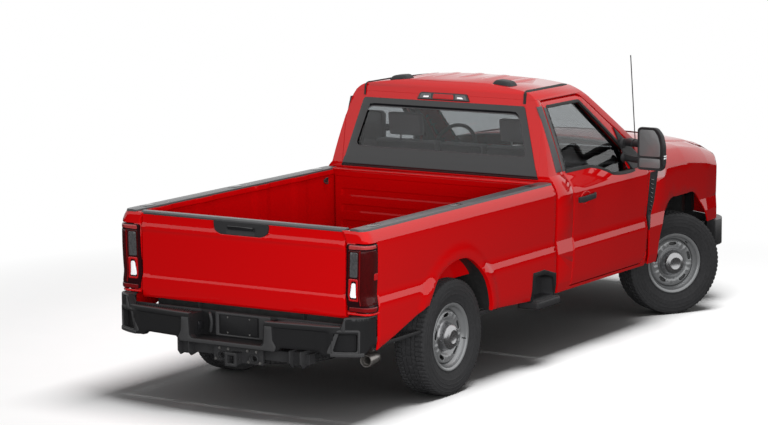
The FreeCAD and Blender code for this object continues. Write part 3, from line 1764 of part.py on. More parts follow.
def make_front_axle():
    left = V(front_axle_x, kingpin_half - carrier_width, axle_z)
    tube = rod(V(front_axle_x, carrier_width - kingpin_half, axle_z), left, axle_tube_radius)
    diff = housing(V(front_axle_x, front_diff_y, axle_z), front_diff_radius, axle_tube_radius)
    parts = [tube, diff]
    for side in (1, -1):
        pin = kingpin_at(side)
        inner = side * (kingpin_half - carrier_width)
        pad_y = side * coil_y
        parts.append(block(
            front_axle_x - coil_radius - coil_wire, front_axle_x + coil_radius + coil_wire,
            pad_y - coil_radius - coil_wire, pad_y + coil_radius + coil_wire,
            axle_z + axle_tube_radius - skin, axle_z + axle_tube_radius,
        ))
        parts.append(block(
            front_axle_x - yoke_width / 2, front_axle_x + yoke_width / 2,
            min(inner - side * yoke_thickness, inner), max(inner - side * yoke_thickness, inner),
            axle_z - yoke_height, axle_z + yoke_height,
        ))
        for up in (1, -1):
            z = axle_z + up * (yoke_height - yoke_thickness / 2)
            lug = block(
                front_axle_x - yoke_width / 2, front_axle_x + yoke_width / 2,
                min(inner - side * yoke_thickness, pin.y), max(inner - side * yoke_thickness, pin.y),
                z - yoke_thickness / 2, z + yoke_thickness / 2,
            )
            round_end = Part.makeCylinder(
                yoke_width / 2, yoke_thickness, V(front_axle_x, pin.y, z - yoke_thickness / 2))
            parts += [lug, round_end]
    holes = []
    for side in (1, -1):
        pin = kingpin_at(side)
        holes.append(Part.makeCylinder(
            pin_radius + seat_gap, yoke_height * 3, V(pin.x, pin.y, axle_z - yoke_height * 3 / 2)))
    return union(parts).cut(Part.makeCompound(holes))


def make_knuckle(side):
    pin = kingpin_at(side)
    inner_z = yoke_height - yoke_thickness - yoke_gap / 6
    carrier = Part.makeCylinder(carrier_width / 2, inner_z * 2, V(pin.x, pin.y, axle_z - inner_z))
    shaft = Part.makeCylinder(pin_radius, yoke_height * 2, V(pin.x, pin.y, axle_z - yoke_height))
    face_y = side * (track_front / 2 + hub_face_offset - seat_gap)
    spindle = rod(pin, V(pin.x, face_y - side * hub_outward, pin.z), hub_radius / 2)
    hub = rod(V(pin.x, face_y - side * hub_outward, pin.z), V(pin.x, face_y, pin.z), hub_radius)
    rotor_y = face_y - side * hub_outward
    rotor = rod(V(pin.x, rotor_y - side * rotor_thickness, pin.z), V(pin.x, rotor_y, pin.z), rotor_radius)
    parts = [carrier, shaft, spindle, hub, rotor]
    lows = [axle_z - arm_drop - arm_thickness]
    if side < 0:
        lows.append(axle_z + arm_drop)
    for low in lows:
        parts.append(block(
            pin.x, pin.x + steering_arm_length, pin.y - arm_width / 2, pin.y + arm_width / 2,
            low, low + arm_thickness,
        ))
        parts.append(Part.makeCylinder(
            tie_eye_radius, arm_thickness, V(pin.x + steering_arm_length, pin.y, low)))
    return steered(union(parts), pin)


def arm_eye(centre, z):
    """The end of an arm of the steering arms' length, at the parked steering angle."""
    turn = math.radians(steer_rest_deg)
    reach = steering_arm_length
    return V(centre.x + reach * math.cos(turn), centre.y + reach * math.sin(turn), z)


def link(start, end, radius, eye_radius):
    """A steering rod with a round eye at each end."""
    eyes = []
    for point in (start, end):
        eyes.append(Part.makeCylinder(eye_radius, arm_thickness, point - V(0, 0, arm_thickness / 2)))
    return union([rod(start, end, radius)] + eyes)


def make_tie_rod():
    z = axle_z - arm_drop - arm_thickness * 3 / 2 - seat_gap
    return link(arm_eye(kingpin_at(1), z), arm_eye(kingpin_at(-1), z), tie_radius / 2, tie_eye_radius)


pitman_x = 156
pitman_inward = 91
pitman_y = frame_half - pitman_inward
pitman_shaft_radius = 17
steering_box_low_z = 505
steering_box_top_z = 660
steering_box_half = 62
steering_box_inward = 126
steering_box_inner_y = frame_half - steering_box_inward


def make_drag_link():
    z = axle_z + arm_drop + arm_thickness * 3 / 2 + seat_gap
    start = arm_eye(V(pitman_x, pitman_y, z), z)
    return link(start, arm_eye(kingpin_at(-1), z), tie_radius / 2, tie_eye_radius)


def make_pitman_arm():
    pivot = V(pitman_x, pitman_y, axle_z)
    low = axle_z + arm_drop
    arm = block(
        pitman_x, pitman_x + steering_arm_length, pitman_y - arm_width / 2, pitman_y + arm_width / 2,
        low, low + arm_thickness,
    )
    eye = Part.makeCylinder(
        tie_eye_radius, arm_thickness, V(pitman_x + steering_arm_length, pitman_y, low))
    boss = Part.makeCylinder(tie_eye_radius, arm_thickness, V(pitman_x, pitman_y, low))
    shaft = Part.makeCylinder(
        pitman_shaft_radius, steering_box_low_z - seat_gap - low, V(pitman_x, pitman_y, low))
    return steered(union([arm, eye, boss, shaft]), pivot)


def make_rear_axle():
    reach = track_rear / 2 + hub_face_offset - seat_gap
    tube = rod(V(rear_axle_x, -reach, axle_z), V(rear_axle_x, reach, axle_z), rear_tube_radius)
    diff = housing(V(rear_axle_x, 0, axle_z), rear_diff_radius, rear_tube_radius)
    parts = [tube, diff]
    for side in (1, -1):
        face = V(rear_axle_x, side * reach, axle_z)
        back = V(rear_axle_x, side * (reach - hub_outward), axle_z)
        disc = V(rear_axle_x, side * (reach - hub_outward - rotor_thickness), axle_z)
        parts += [rod(back, face, hub_radius), rod(disc, back, rotor_radius)]
    return union(parts)


# Drive shafts, springs and dampers
shaft_radius = 36
front_shaft_radius = 26
rear_shaft_z = 500
front_shaft_y = -205
front_shaft_z = 480
yoke_radius = 50
yoke_body_radius = 40
leaf_outward = 73
leaf_y = frame_half + leaf_outward
leaf_half_width = 35
leaf_thickness = 40
leaf_reach = 700
leaf_end_z = 560
leaf_eye_radius = 28
coil_outward = 108
coil_y = frame_half + coil_outward
coil_radius = 62
coil_wire = 9
coil_turns = 4
coil_sides = 6
coil_top_z = 660
tower_half = 76
tower_thickness = 22
damper_radius = 26
damper_rod_radius = 12
damper_inward = 114
damper_y = frame_half - damper_inward
damper_low_ahead = 23
damper_low_x = rear_axle_x + damper_low_ahead
damper_high_ahead = 293
damper_high_x = rear_axle_x + damper_high_ahead
damper_high_z = 624


def make_drive_shafts():
    rear_tilt = (rear_shaft_z - axle_z) / (gearbox_x0 - rear_axle_x)
    front_tilt = (front_shaft_z - axle_z) / (front_axle_x - transfer_x1)
    rear_start = V(gearbox_x0 - seat_gap - rear_tilt * shaft_radius, 0, rear_shaft_z)
    rear_end_gap = seat_gap + rear_tilt ** 2 * rear_diff_radius
    rear_end = V(rear_axle_x + rear_diff_radius + rear_end_gap, 0, axle_z)
    front_start_gap = seat_gap + front_tilt * front_shaft_radius
    front_start = V(transfer_x1 + front_start_gap, front_shaft_y, front_shaft_z)
    front_end_gap = seat_gap + front_tilt ** 2 * front_diff_radius
    front_end = V(front_axle_x - front_diff_radius - front_end_gap, front_diff_y, axle_z)
    made = []
    for start, end, radius in (
            (rear_start, rear_end, shaft_radius), (front_start, front_end, front_shaft_radius)):
        along = (end - start).normalize()
        joint = along * yoke_radius
        made.append(union([
            rod(start, end, radius),
            rod(start + joint / 2, start + joint * 3 / 2, yoke_body_radius),
            rod(end - joint * 2, end - joint, yoke_body_radius),
        ]))
    return made


def make_springs():
    made = []
    seat_z = axle_z + rear_tube_radius
    low_z = seat_z + seat_gap
    y0 = leaf_y - leaf_half_width
    y1 = leaf_y + leaf_half_width
    leaf = plate_xz([
        (rear_axle_x - leaf_reach, leaf_end_z),
        [(rear_axle_x, low_z), (rear_axle_x + leaf_reach, leaf_end_z)],
        (rear_axle_x + leaf_reach, leaf_end_z + leaf_thickness / 2),
        [
            (rear_axle_x, low_z + leaf_thickness),
            (rear_axle_x - leaf_reach, leaf_end_z + leaf_thickness / 2),
        ],
    ], y0, y1)
    parts = [leaf]
    for end in (-1, 1):
        x = rear_axle_x + end * leaf_reach
        parts.append(rod(
            V(x, frame_half + seat_gap, leaf_end_z + leaf_thickness / 4),
            V(x, y1, leaf_end_z + leaf_thickness / 4), leaf_eye_radius))
    made.append(union(parts))
    tower = block(
        front_axle_x - tower_half, front_axle_x + tower_half, frame_half + seat_gap,
        coil_y + tower_half, coil_top_z, coil_top_z + tower_thickness,
    )
    coil_low_z = axle_z + axle_tube_radius + coil_wire + seat_gap
    coil_rise = coil_top_z - coil_low_z - coil_wire - seat_gap
    helix = Part.makeHelix(coil_rise / coil_turns, coil_rise, coil_radius)
    corners = []
    for index in range(coil_sides + 1):
        turn = 2 * math.pi * (index + 1 / 2) / coil_sides
        corners.append(V(coil_radius + coil_wire * math.cos(turn), 0, coil_wire * math.sin(turn)))
    section = Part.makePolygon(corners)
    coil = Part.Wire(helix.Edges).makePipeShell([section], True, True)
    coil.translate(V(front_axle_x, coil_y, coil_low_z))
    damper_foot = V(damper_low_x, damper_y, axle_z)
    damper_head = V(damper_high_x, damper_y, damper_high_z)
    damper_middle = (damper_foot + damper_head) / 2
    damper = union([
        rod(damper_foot, damper_middle, damper_radius),
        rod(damper_middle, damper_head, damper_rod_radius),
        rod(damper_head - V(0, damper_radius, 0),
            V(damper_high_x, frame_half - rail_wall - seat_gap, damper_high_z), damper_radius),
    ]).cut(rod(V(rear_axle_x, 0, axle_z), V(rear_axle_x, half_width, axle_z), rear_tube_radius + seat_gap))
    made += [tower, coil, damper]
    return made


# Exhaust, fuel tank and spare wheel
exhaust_radius = 32
exhaust_wall = 4
exhaust_bend = 110
exhaust_inward = 132
exhaust_y = exhaust_inward - frame_half
exhaust_z = 490
exhaust_front_shares = [
    (0.197, 0.85, 1.3),
    (0.279, 1, 1),
    (0.721, 1, 1),
    (0.786, 2.02, 1.02),
]
exhaust_rear_shares = [
    (0.345, 2.03, 1.08),
    (0.5765, 2.63, 0.93),
    (0.7103, 2.93, 0.816),
]
muffler_x0 = -2084
muffler_x1 = -1534
muffler_radius = 60
hanger_radius = 6
tank_rear_ahead = 503
tank_front_ahead = 1363
tank_x0 = rear_axle_x + tank_rear_ahead
tank_x1 = rear_axle_x + tank_front_ahead
tank_y0 = 66
tank_inward = 80
tank_y1 = frame_half - tank_inward
tank_low_z = 320
tank_edge = 40
spare_behind = 603
spare_x = rear_axle_x - spare_behind


def make_exhaust():
    x_share, y_share, z_share = exhaust_front_shares[0]
    route = [(engine_x0 - seat_gap, exhaust_y * y_share, exhaust_z * z_share)]
    for x_share, y_share, z_share in exhaust_front_shares:
        route.append((front_axle_x - wheelbase * x_share, exhaust_y * y_share, exhaust_z * z_share))
    for x_share, y_share, z_share in exhaust_rear_shares:
        run = rear_axle_x - rear_end_x
        route.append((rear_axle_x - run * x_share, exhaust_y * y_share, exhaust_z * z_share))
    outside = swept(route, exhaust_bend, exhaust_radius)
    muffler = rod(V(muffler_x0, exhaust_y, exhaust_z), V(muffler_x1, exhaust_y, exhaust_z), muffler_radius)
    tip_end = V(*route[-1])
    tip_way = (tip_end - V(*route[-2])).normalize()
    bore = rod(tip_end - tip_way * exhaust_radius * 3, tip_end + tip_way * exhaust_radius,
               exhaust_radius - exhaust_wall)
    front_hanger = rod(
        V(member_x(3), exhaust_y, exhaust_z),
        V(member_x(3), exhaust_y, member_top_z - cross_member_height - seat_gap), hanger_radius)
    rear_hanger_y = exhaust_y * exhaust_rear_shares[0][1]
    rear_hanger = rod(
        V(beam_x(1), rear_hanger_y, exhaust_z),
        V(beam_x(1), rear_hanger_y, rail_arch_top_z), hanger_radius)
    return union([outside, muffler, front_hanger, rear_hanger]).cut(bore)


def make_fuel_tank():
    return plate_yz([
        (tank_y0, tank_low_z + tank_edge),
        (tank_y0 + tank_edge, tank_low_z),
        (tank_y1 - tank_edge, tank_low_z),
        (tank_y1, tank_low_z + tank_edge),
        (tank_y1, member_top_z - cross_member_height - seat_gap),
        (tank_y0, member_top_z - cross_member_height - seat_gap),
    ], tank_x0, tank_x1)


# Mirrors, antenna and roof lamps
mirror_head_x = -1124
mirror_head_low_z = 1284
mirror_head_high_z = 1609
mirror_head_clear = 114
mirror_head_inner_y = half_width + mirror_head_clear
mirror_head_depth = 92
mirror_arm_high_x = -971
mirror_arm_high_z = 1470
mirror_arm_low_x = -914
mirror_arm_low_z = 1350
mirror_arm_radius = 20
mirror_round = 26
mirror_arm_root = 60
sail_thickness = 10
sail_shares = [
    (0.80, 0.6553),
    (0.765, 0.755),
    (0.9936, 0.587),
    (0.9936, 0.545),
    (0.82, 0.545),
]
antenna_x = -554
antenna_inset = 216
antenna_y = antenna_inset - half_width
antenna_base_radius = 22
antenna_base_height = 40
antenna_fall_share = 0.4
antenna_radius = 4
antenna_top_z = 2088
antenna_lean = 90
pod_x = -1954
pod_inset = 570
pod_y = half_width - pod_inset
pod_length = 120
pod_width = 150
pod_height = 30
stop_lamp_half = 220
stop_lamp_low_z = 1842
stop_lamp_high_z = 1876
stop_lamp_depth = 16


def make_mirror():
    """A tall mirror head on two arms, on the black patch ahead of the door's window."""
    outer_y = half_width + mirror_reach
    x0 = mirror_head_x - mirror_head_depth / 2
    x1 = mirror_head_x + mirror_head_depth / 2
    head = plate_yz([
        (mirror_head_inner_y, mirror_head_low_z + mirror_round),
        (mirror_head_inner_y + mirror_round, mirror_head_low_z),
        (outer_y - mirror_round, mirror_head_low_z),
        (outer_y, mirror_head_low_z + mirror_round),
        (outer_y, mirror_head_high_z - mirror_round),
        (outer_y - mirror_round, mirror_head_high_z),
        (mirror_head_inner_y + mirror_round, mirror_head_high_z),
        (mirror_head_inner_y, mirror_head_high_z - mirror_round),
    ], x0, x1)
    parts = [head]
    for x, z in ((mirror_arm_high_x, mirror_arm_high_z), (mirror_arm_low_x, mirror_arm_low_z)):
        parts.append(rod(
            V(x, belt_point[0] - mirror_arm_root, z),
            V(mirror_head_x, mirror_head_inner_y + mirror_round, z), mirror_arm_radius))
    slab = cab_slab()
    path = spread(sail_shares, door_rear_x, door_front_x, door_bottom_z, door_top_z)
    parts.append(moved(slab, 0, sail_thickness, 0).common(plate_xz(path, 0, half_width + overrun)))
    return union(parts).cut(moved(slab, 0, seat_gap, 0))


def make_antenna(clip):
    base_z = hood_crown_z - clip_fall * antenna_fall_share - antenna_base_height / 2
    base = Part.makeCone(
        antenna_base_radius, antenna_radius * 2, antenna_base_height, V(antenna_x, antenna_y, base_z))
    mast = rod(V(antenna_x, antenna_y, base_z + antenna_base_height / 2),
               V(antenna_x - antenna_lean, antenna_y, antenna_top_z), antenna_radius)
    return union([base, mast]).cut(clip)


def make_roof_lamps(roof):
    """Two lamp pods on the roof's rear corners and the high stop lamp over the rear glass."""
    made = []
    for y in (-pod_y, 0, pod_y):
        pod = block(
            pod_x - pod_length / 2, pod_x + pod_length / 2, y - pod_width / 2, y + pod_width / 2,
            gutter_z - overrun, roof_z + pod_height,
        )
        if y != 0:
            cap = moved(roof, 0, 0, pod_height).cut(roof)
            made.append(cap.common(pod))
    lean = (stop_lamp_low_z - belt_z) / (cab_back_top_z - belt_z) * cab_back_lean
    stop = block(
        cab_rear_x + lean - stop_lamp_depth, cab_rear_x + lean + stop_lamp_depth,
        -stop_lamp_half, stop_lamp_half, stop_lamp_low_z, stop_lamp_high_z,
    )
    made.append(stop.cut(roof))
    return made


def main():
    os.makedirs("parts", exist_ok=True)
    outer = cab_outer()
    shell = outer.cut(cab_inner())
    cab_side = make_cab_sides(shell)
    save_pair("cab_side", cab_side)
    make_cab_roof(shell)
    make_cab_back(shell)
    make_cab_glass()
    make_doors()
    save("cab_floor", make_cab_floor())
    make_seats()
    make_dashboard()
    make_steering_wheel()
    clip = clip_solid(0, 0)
    make_front(clip, clip_solid(skin, skin), outer, cab_side)
    save("front_support", make_front_support(clip_solid(hood_thickness, hood_thickness)))
    save("front_bumper", make_front_bumper())
    save("box_floor", make_box_floor())
    save("box_front", make_box_front())
    side, lamp = make_box_side()
    save_pair("box_side", side)
    save("tail_lamps", pair(lamp))
    save("rail_caps", make_rail_caps())
    save("tailgate", make_tailgate())
    save("rear_bumper", make_rear_bumper())
    save("box_steps", pair(right(make_box_steps())))
    save("hitch", make_hitch())
    save("frame_rails", make_frame())
    save("engine", make_engine())
    for name, x, track in (("front", front_axle_x, track_front), ("rear", rear_axle_x, track_rear)):
        for side_name, side in (("left", 1), ("right", -1)):
            centre = V(x, side * track / 2, axle_z)
            tyre = make_tyre(centre)
            rim = make_rim(centre, side)
            if name == "front":
                tyre = steered(tyre, kingpin_at(side))
                rim = steered(rim, kingpin_at(side))
            save("tyre_" + name + "_" + side_name, tyre)
            save("rim_" + name + "_" + side_name, rim)
    spare = Part.makeCompound([make_tyre(V(0, 0, 0)), make_rim(V(0, 0, 0), -1)])
    spare.rotate(V(0, 0, 0), V(1, 0, 0), 90)
    spare_z = member_top_z - cross_member_height - seat_gap - tyre_width / 2
    save("spare_wheel", moved(spare, spare_x, 0, spare_z))
    save("front_axle", make_front_axle())
    save("rear_axle", make_rear_axle())
    save("knuckle_left", make_knuckle(1))
    save("knuckle_right", make_knuckle(-1))
    save("tie_rod", make_tie_rod())
    save("drag_link", make_drag_link())
    save("pitman_arm", make_pitman_arm())
    save("drive_shafts", Part.makeCompound(make_drive_shafts()))
    springs = make_springs()
    save("springs", Part.makeCompound(springs + [right(piece) for piece in springs]))
    save("exhaust", make_exhaust())
    save("fuel_tank", make_fuel_tank())
    save_pair("mirror", make_mirror())
    save("antenna", make_antenna(clip))
    save("roof_lamps", Part.makeCompound(make_roof_lamps(outer)))


main()
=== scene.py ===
import math
import bmesh
import bpy
import numpy as np
from mathutils import Matrix, Vector
from mathutils.bvhtree import BVHTree
from mathutils.geometry import delaunay_2d_cdt


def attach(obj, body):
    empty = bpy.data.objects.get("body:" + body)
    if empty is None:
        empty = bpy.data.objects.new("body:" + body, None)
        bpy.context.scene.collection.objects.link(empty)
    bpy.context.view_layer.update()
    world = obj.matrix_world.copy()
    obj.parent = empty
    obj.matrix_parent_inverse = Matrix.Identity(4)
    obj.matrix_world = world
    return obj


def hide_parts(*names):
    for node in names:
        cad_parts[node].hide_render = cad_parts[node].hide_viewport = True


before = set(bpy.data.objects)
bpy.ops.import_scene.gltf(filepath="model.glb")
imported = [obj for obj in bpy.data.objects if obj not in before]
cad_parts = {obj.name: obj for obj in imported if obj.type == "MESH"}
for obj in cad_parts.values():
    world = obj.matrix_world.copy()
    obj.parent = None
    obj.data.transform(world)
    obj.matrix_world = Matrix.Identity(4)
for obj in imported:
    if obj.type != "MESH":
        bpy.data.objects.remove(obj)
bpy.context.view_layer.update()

# Looks of a regular-cab pickup truck, in metres, in the frame of its CAD part.
# +X points forward, +Y to the truck's left, +Z up, with the origin on the ground.

# Shared sizes of the body
half_width = 1.016
sill_z = 0.494
tuck_z = 0.56
low_crease_z = 0.777
waist_z = 0.87
shoulder_z = 1.205
rail_low_z = 1.289
belt_z = 1.339
window_top_z = 1.839
gutter_z = 1.935
box_rear_x = -2.754
box_front_x = -0.239
front_axle_x = 1.974
rear_axle_x = -1.623
axle_z = 0.405
tyre_radius = 0.405
steer_rest = math.radians(-33)
kingpin_y = 0.731
full_turn = 2 * math.pi
quarter_turn = math.pi / 2


# Shapes are pairs of points and faces
def merged(shapes):
    points = []
    faces = []
    for shape_points, shape_faces in shapes:
        base = len(points)
        points += [tuple(point) for point in shape_points]
        faces += [tuple(base + index for index in face) for face in shape_faces]
    return points, faces


def mirrored(shape):
    """The same shape on the truck's other side."""
    points, faces = shape
    return [(x, -y, z) for x, y, z in points], [tuple(reversed(face)) for face in faces]


def placed(shape, matrix):
    points, faces = shape
    return [tuple(matrix @ Vector(point)) for point in points], faces


def turned(place, angle, axis):
    """A matrix that turns about an axis and moves to a place."""
    return Matrix.Translation(place) @ Matrix.Rotation(angle, 4, axis)


def circle(steps, closed=False):
    """Cosines and sines of even turns. A closed circle ends where it starts."""
    turns = [full_turn * i / steps for i in range(steps + closed)]
    return [(math.cos(turn), math.sin(turn)) for turn in turns]


def loft(rings, looped=False):
    """Skin over rings of as many points each. A looped loft joins its last ring to its
    first, and any other has a cap at each end."""
    count = len(rings[0])
    points = [tuple(point) for ring in rings for point in ring]
    faces = []
    for i in range(len(rings) if looped else len(rings) - 1):
        a = i * count
        b = (i + 1) % len(rings) * count
        for j in range(count):
            k = (j + 1) % count
            faces.append((a + j, a + k, b + k, b + j))
    if not looped:
        faces.append(tuple(reversed(range(count))))
        faces.append(tuple(range(len(points) - count, len(points))))
    return points, faces


def lathe(profile, steps):
    """Turns pairs of radius and offset about an axle along Y."""
    return loft([[(r * c, offset, r * s) for r, offset in profile] for c, s in circle(steps)], looped=True)


def tube(path, radius, sides=12, flat=1):
    """A round bar along points. Flat below one squeezes its section."""
    rings = []
    points = [Vector(point) for point in path]
    side = (points[1] - points[0]).normalized().orthogonal().normalized()
    for i, point in enumerate(points):
        before = points[max(i - 1, 0)]
        after = points[min(i + 1, len(points) - 1)]
        aim = (after - before).normalized()
        side = (side - aim * side.dot(aim)).normalized()
        up = aim.cross(side)
        rings.append([point + side * radius * c + up * radius * flat * s for c, s in circle(sides)])
    return loft(rings)


def curve_through(corners, per_span=6):
    """Points of a smooth curve through corners."""
    corners = [Vector(corner) for corner in corners]
    padded = [corners[0] * 2 - corners[1]] + corners + [corners[-1] * 2 - corners[-2]]
    made = []
    for a, b, c, d in zip(padded, padded[1:], padded[2:], padded[3:]):
        for step in range(per_span):
            t = step / per_span
            made.append(0.5 * (
                2 * b + (c - a) * t + (2 * a - 5 * b + 4 * c - d) * t ** 2
                + (3 * b - a - 3 * c + d) * t ** 3))
    made.append(corners[-1])
    return made


def eased(shape, radius, segments=3, over_deg=30):
    """Rounds the edges of a shape that turn more sharply than an angle."""
    work = bmesh.new()
    points = [work.verts.new(point) for point in shape[0]]
    for face in shape[1]:
        work.faces.new([points[index] for index in face])
    bmesh.ops.recalc_face_normals(work, faces=work.faces)
    edges = [edge for edge in work.edges
             if len(edge.link_faces) == 2 and edge.calc_face_angle(0) > math.radians(over_deg)]
    bmesh.ops.bevel(work, geom=edges, offset=radius, segments=segments, profile=0.5, affect="EDGES",
                    clamp_overlap=True)
    bmesh.ops.remove_doubles(work, verts=work.verts, dist=1e-5)
    work.verts.index_update()
    result = ([tuple(vert.co) for vert in work.verts],
              [tuple(v.index for v in face.verts) for face in work.faces])
    work.free()
    return result


def box(low, high, radius=0.004, segments=2):
    x0, y0, z0 = low
    x1, y1, z1 = high
    points = [(x0, y0, z0), (x1, y0, z0), (x1, y1, z0), (x0, y1, z0),
              (x0, y0, z1), (x1, y0, z1), (x1, y1, z1), (x0, y1, z1)]
    faces = [(3, 2, 1, 0), (4, 5, 6, 7), (0, 1, 5, 4), (1, 2, 6, 5), (2, 3, 7, 6), (3, 0, 4, 7)]
    return eased((points, faces), radius, segments)


def prism(outline, axis, low, high, radius=0.003, segments=2):
    """An outline in the plane across an axis, drawn out between two places along it."""
    rings = []
    for place in (low, high):
        rings.append([{"x": (place, a, b), "y": (a, place, b), "z": (a, b, place)}[axis] for a, b in outline])
    return eased(loft(rings), radius, segments)


# Outlines are lists of pairs, in a flat plane
def rounded(corners, radius, steps=5):
    """A closed outline with its corners rounded."""
    made = []
    count = len(corners)
    for i in range(count):
        corner = np.array(corners[i], float)
        back = np.array(corners[i - 1], float) - corner
        ahead = np.array(corners[(i + 1) % count], float) - corner
        reach = min(radius, np.linalg.norm(back) * 0.45, np.linalg.norm(ahead) * 0.45)
        a = corner + back / np.linalg.norm(back) * reach
        b = corner + ahead / np.linalg.norm(ahead) * reach
        for step in range(steps + 1):
            t = step / steps
            made.append(tuple(a * (1 - t) ** 2 + corner * 2 * t * (1 - t) + b * t ** 2))
    return made


def rectangle(a0, a1, b0, b1, radius=0, steps=5):
    corners = [(a0, b0), (a1, b0), (a1, b1), (a0, b1)]
    return rounded(corners, radius, steps) if radius else corners


def two_sided(half_line):
    """A closed outline, from one half's corners and their mirror images."""
    other = [(-a, b) for a, b in half_line]
    return other[:1] + half_line + other[:0:-1]


def denser(outline, spacing):
    made = []
    for start, end in zip(outline, outline[1:] + outline[:1]):
        a = np.array(start, float)
        b = np.array(end, float)
        parts = max(1, int(math.ceil(np.linalg.norm(b - a) / spacing)))
        made += [tuple(a + (b - a) * step / parts) for step in range(parts)]
    return made


def cleaned(outline, least=5e-4):
    made = []
    for point in outline:
        if not made or math.dist(point, made[-1]) > least:
            made.append(tuple(point))
    if math.dist(made[0], made[-1]) <= least:
        made.pop()
    return made


def evened(outline, spacing):
    return cleaned(denser(cleaned(outline), spacing))


def area_of(outline):
    return sum(ax * by - bx * ay for (ax, ay), (bx, by) in zip(outline, outline[1:] + outline[:1])) / 2


def inward(outline, distance):
    """The outline moved to its inner side, corner by corner."""
    way = 1 if area_of(outline) > 0 else -1
    made = []
    count = len(outline)
    for i in range(count):
        here = np.array(outline[i])
        back = here - np.array(outline[i - 1])
        ahead = np.array(outline[(i + 1) % count]) - here
        back = back / np.linalg.norm(back)
        ahead = ahead / np.linalg.norm(ahead)
        normal = np.array([-(back + ahead)[1], (back + ahead)[0]]) * way
        size = np.linalg.norm(normal)
        if size < 1e-6:
            made.append(tuple(here))
            continue
        normal = normal / size
        square = np.array([-back[1], back[0]]) * way
        stretch = 1 / max(0.4, float(normal @ square))
        made.append(tuple(here + normal * distance * stretch))
    return made


def inside(points, loops):
    """Which points lie within the first loop and outside all others."""
    points = np.asarray(points, float)
    result = np.ones(len(points), bool)
    for number, outline in enumerate(loops):
        within = np.zeros(len(points), bool)
        for (ax, ay), (bx, by) in zip(outline, outline[1:] + outline[:1]):
            if ay == by:
                continue
            crosses = (ay > points[:, 1]) != (by > points[:, 1])
            at = (bx - ax) * (points[:, 1] - ay) / (by - ay) + ax
            within ^= crosses & (points[:, 0] < at)
        result &= within if number == 0 else ~within
    return result


def gap_to(points, loops):
    """The distance from points to the nearest point of dense loops."""
    stops = np.array([point for loop in loops for point in loop])
    best = np.full(len(points), np.inf)
    for start in range(0, len(stops), 200):
        part = stops[start:start + 200]
        gaps = np.hypot(points[:, None, 0] - part[None, :, 0], points[:, None, 1] - part[None, :, 1])
        best = np.minimum(best, gaps.min(axis=1))
    return best


def grid_lines(low, high, spacing, extra):
    """Even places between two limits, without those that are close to extra ones."""
    lines = np.arange(low + spacing / 2, high, spacing)
    return [line for line in lines if all(abs(line - place) > spacing * 0.4 for place in extra)] + list(extra)


finest_step = 0.016
edge_shares = (0, 0.3, 1)


def panel(outline, surface, thickness, holes=(), spacing=0.03, edge=0.004, levels=(), columns=()):
    """A sheet trimmed to an outline, with holes and rounded edges. The surface takes
    two flat places and a depth below its outside. Levels and columns are rows of
    points that keep the surface's creases crisp."""
    fine = min(spacing, finest_step)
    loops = [evened(loop, fine) for loop in [outline] + list(holes)]
    loops = [loop if area_of(loop) >= 0 else loop[::-1] for loop in loops]
    points = []
    segments = []
    depth = []
    for number, loop in enumerate(loops):
        for share in edge_shares:
            moved = loop if share == 0 else inward(loop, edge * share * (1 if number == 0 else -1))
            base = len(points)
            points += moved
            depth += [share] * len(moved)
            segments += [(base + i, base + (i + 1) % len(moved)) for i in range(len(moved))]
    low = np.min(loops[0], axis=0)
    high = np.max(loops[0], axis=0)
    rows = grid_lines(low[1], high[1], spacing, levels)
    lines = grid_lines(low[0], high[0], spacing, columns)
    grid = np.array([(a, b) for b in rows for a in lines]).reshape(-1, 2)
    grid = grid[inside(grid, loops)]
    if len(grid):
        stops = [denser(loop, fine / 2) for loop in loops]
        grid = grid[gap_to(grid, stops) > max(edge * 1.4, spacing * 0.25)]
    points += [tuple(point) for point in grid]
    depth += [1] * len(grid)
    made = delaunay_2d_cdt([Vector(point) for point in points], segments, [], 0, 1e-6)
    flat_points, _, triangles, origins, _, _ = made
    middles = [[sum(flat_points[i][k] for i in tri) / 3 for k in (0, 1)] for tri in triangles]
    triangles = [tri for tri, good in zip(triangles, inside(middles, loops)) if good]
    used = sorted({i for tri in triangles for i in tri})
    index = {old: new for new, old in enumerate(used)}
    outer = []
    inner = []
    for old in used:
        a, b = flat_points[old]
        share = depth[origins[old][0]] if origins[old] else 1
        outer.append(surface(a, b, edge * (1 - math.sqrt(max(0, 1 - (1 - share) ** 2)))))
        inner.append(surface(a, b, thickness))
    return sheet_of(outer, inner, [[index[i] for i in tri] for tri in triangles])


def sheet_of(outer, inner, outer_faces):
    """A closed sheet of two faces with as many points each, joined along their rim."""
    count = len(outer)
    faces = []
    sides = {}
    for face in outer_faces:
        faces.append(tuple(face))
        faces.append(tuple(count + i for i in face[::-1]))
        for pair in zip(face, face[1:] + face[:1]):
            sides[pair] = True
    for a, b in sides:
        if (b, a) not in sides:
            faces.append((b, a, count + a, count + b))
    return outer + inner, faces


# Finishes. Each is a shader with its own pattern of tone, sheen and relief
finishes = {}


def add_node(tree, kind, operation=None, **values):
    """A new node of a tree. Values are for its inputs, with _ for each space."""
    node = tree.nodes.new("ShaderNode" + kind)
    if operation:
        node.operation = operation
    set_inputs(node, **values)
    return node


def set_inputs(node, **values):
    for name, value in values.items():
        node.inputs[name.replace("_", " ")].default_value = value


def link(tree, source, output, target, socket):
    tree.links.new(source.outputs[output], target.inputs[socket])


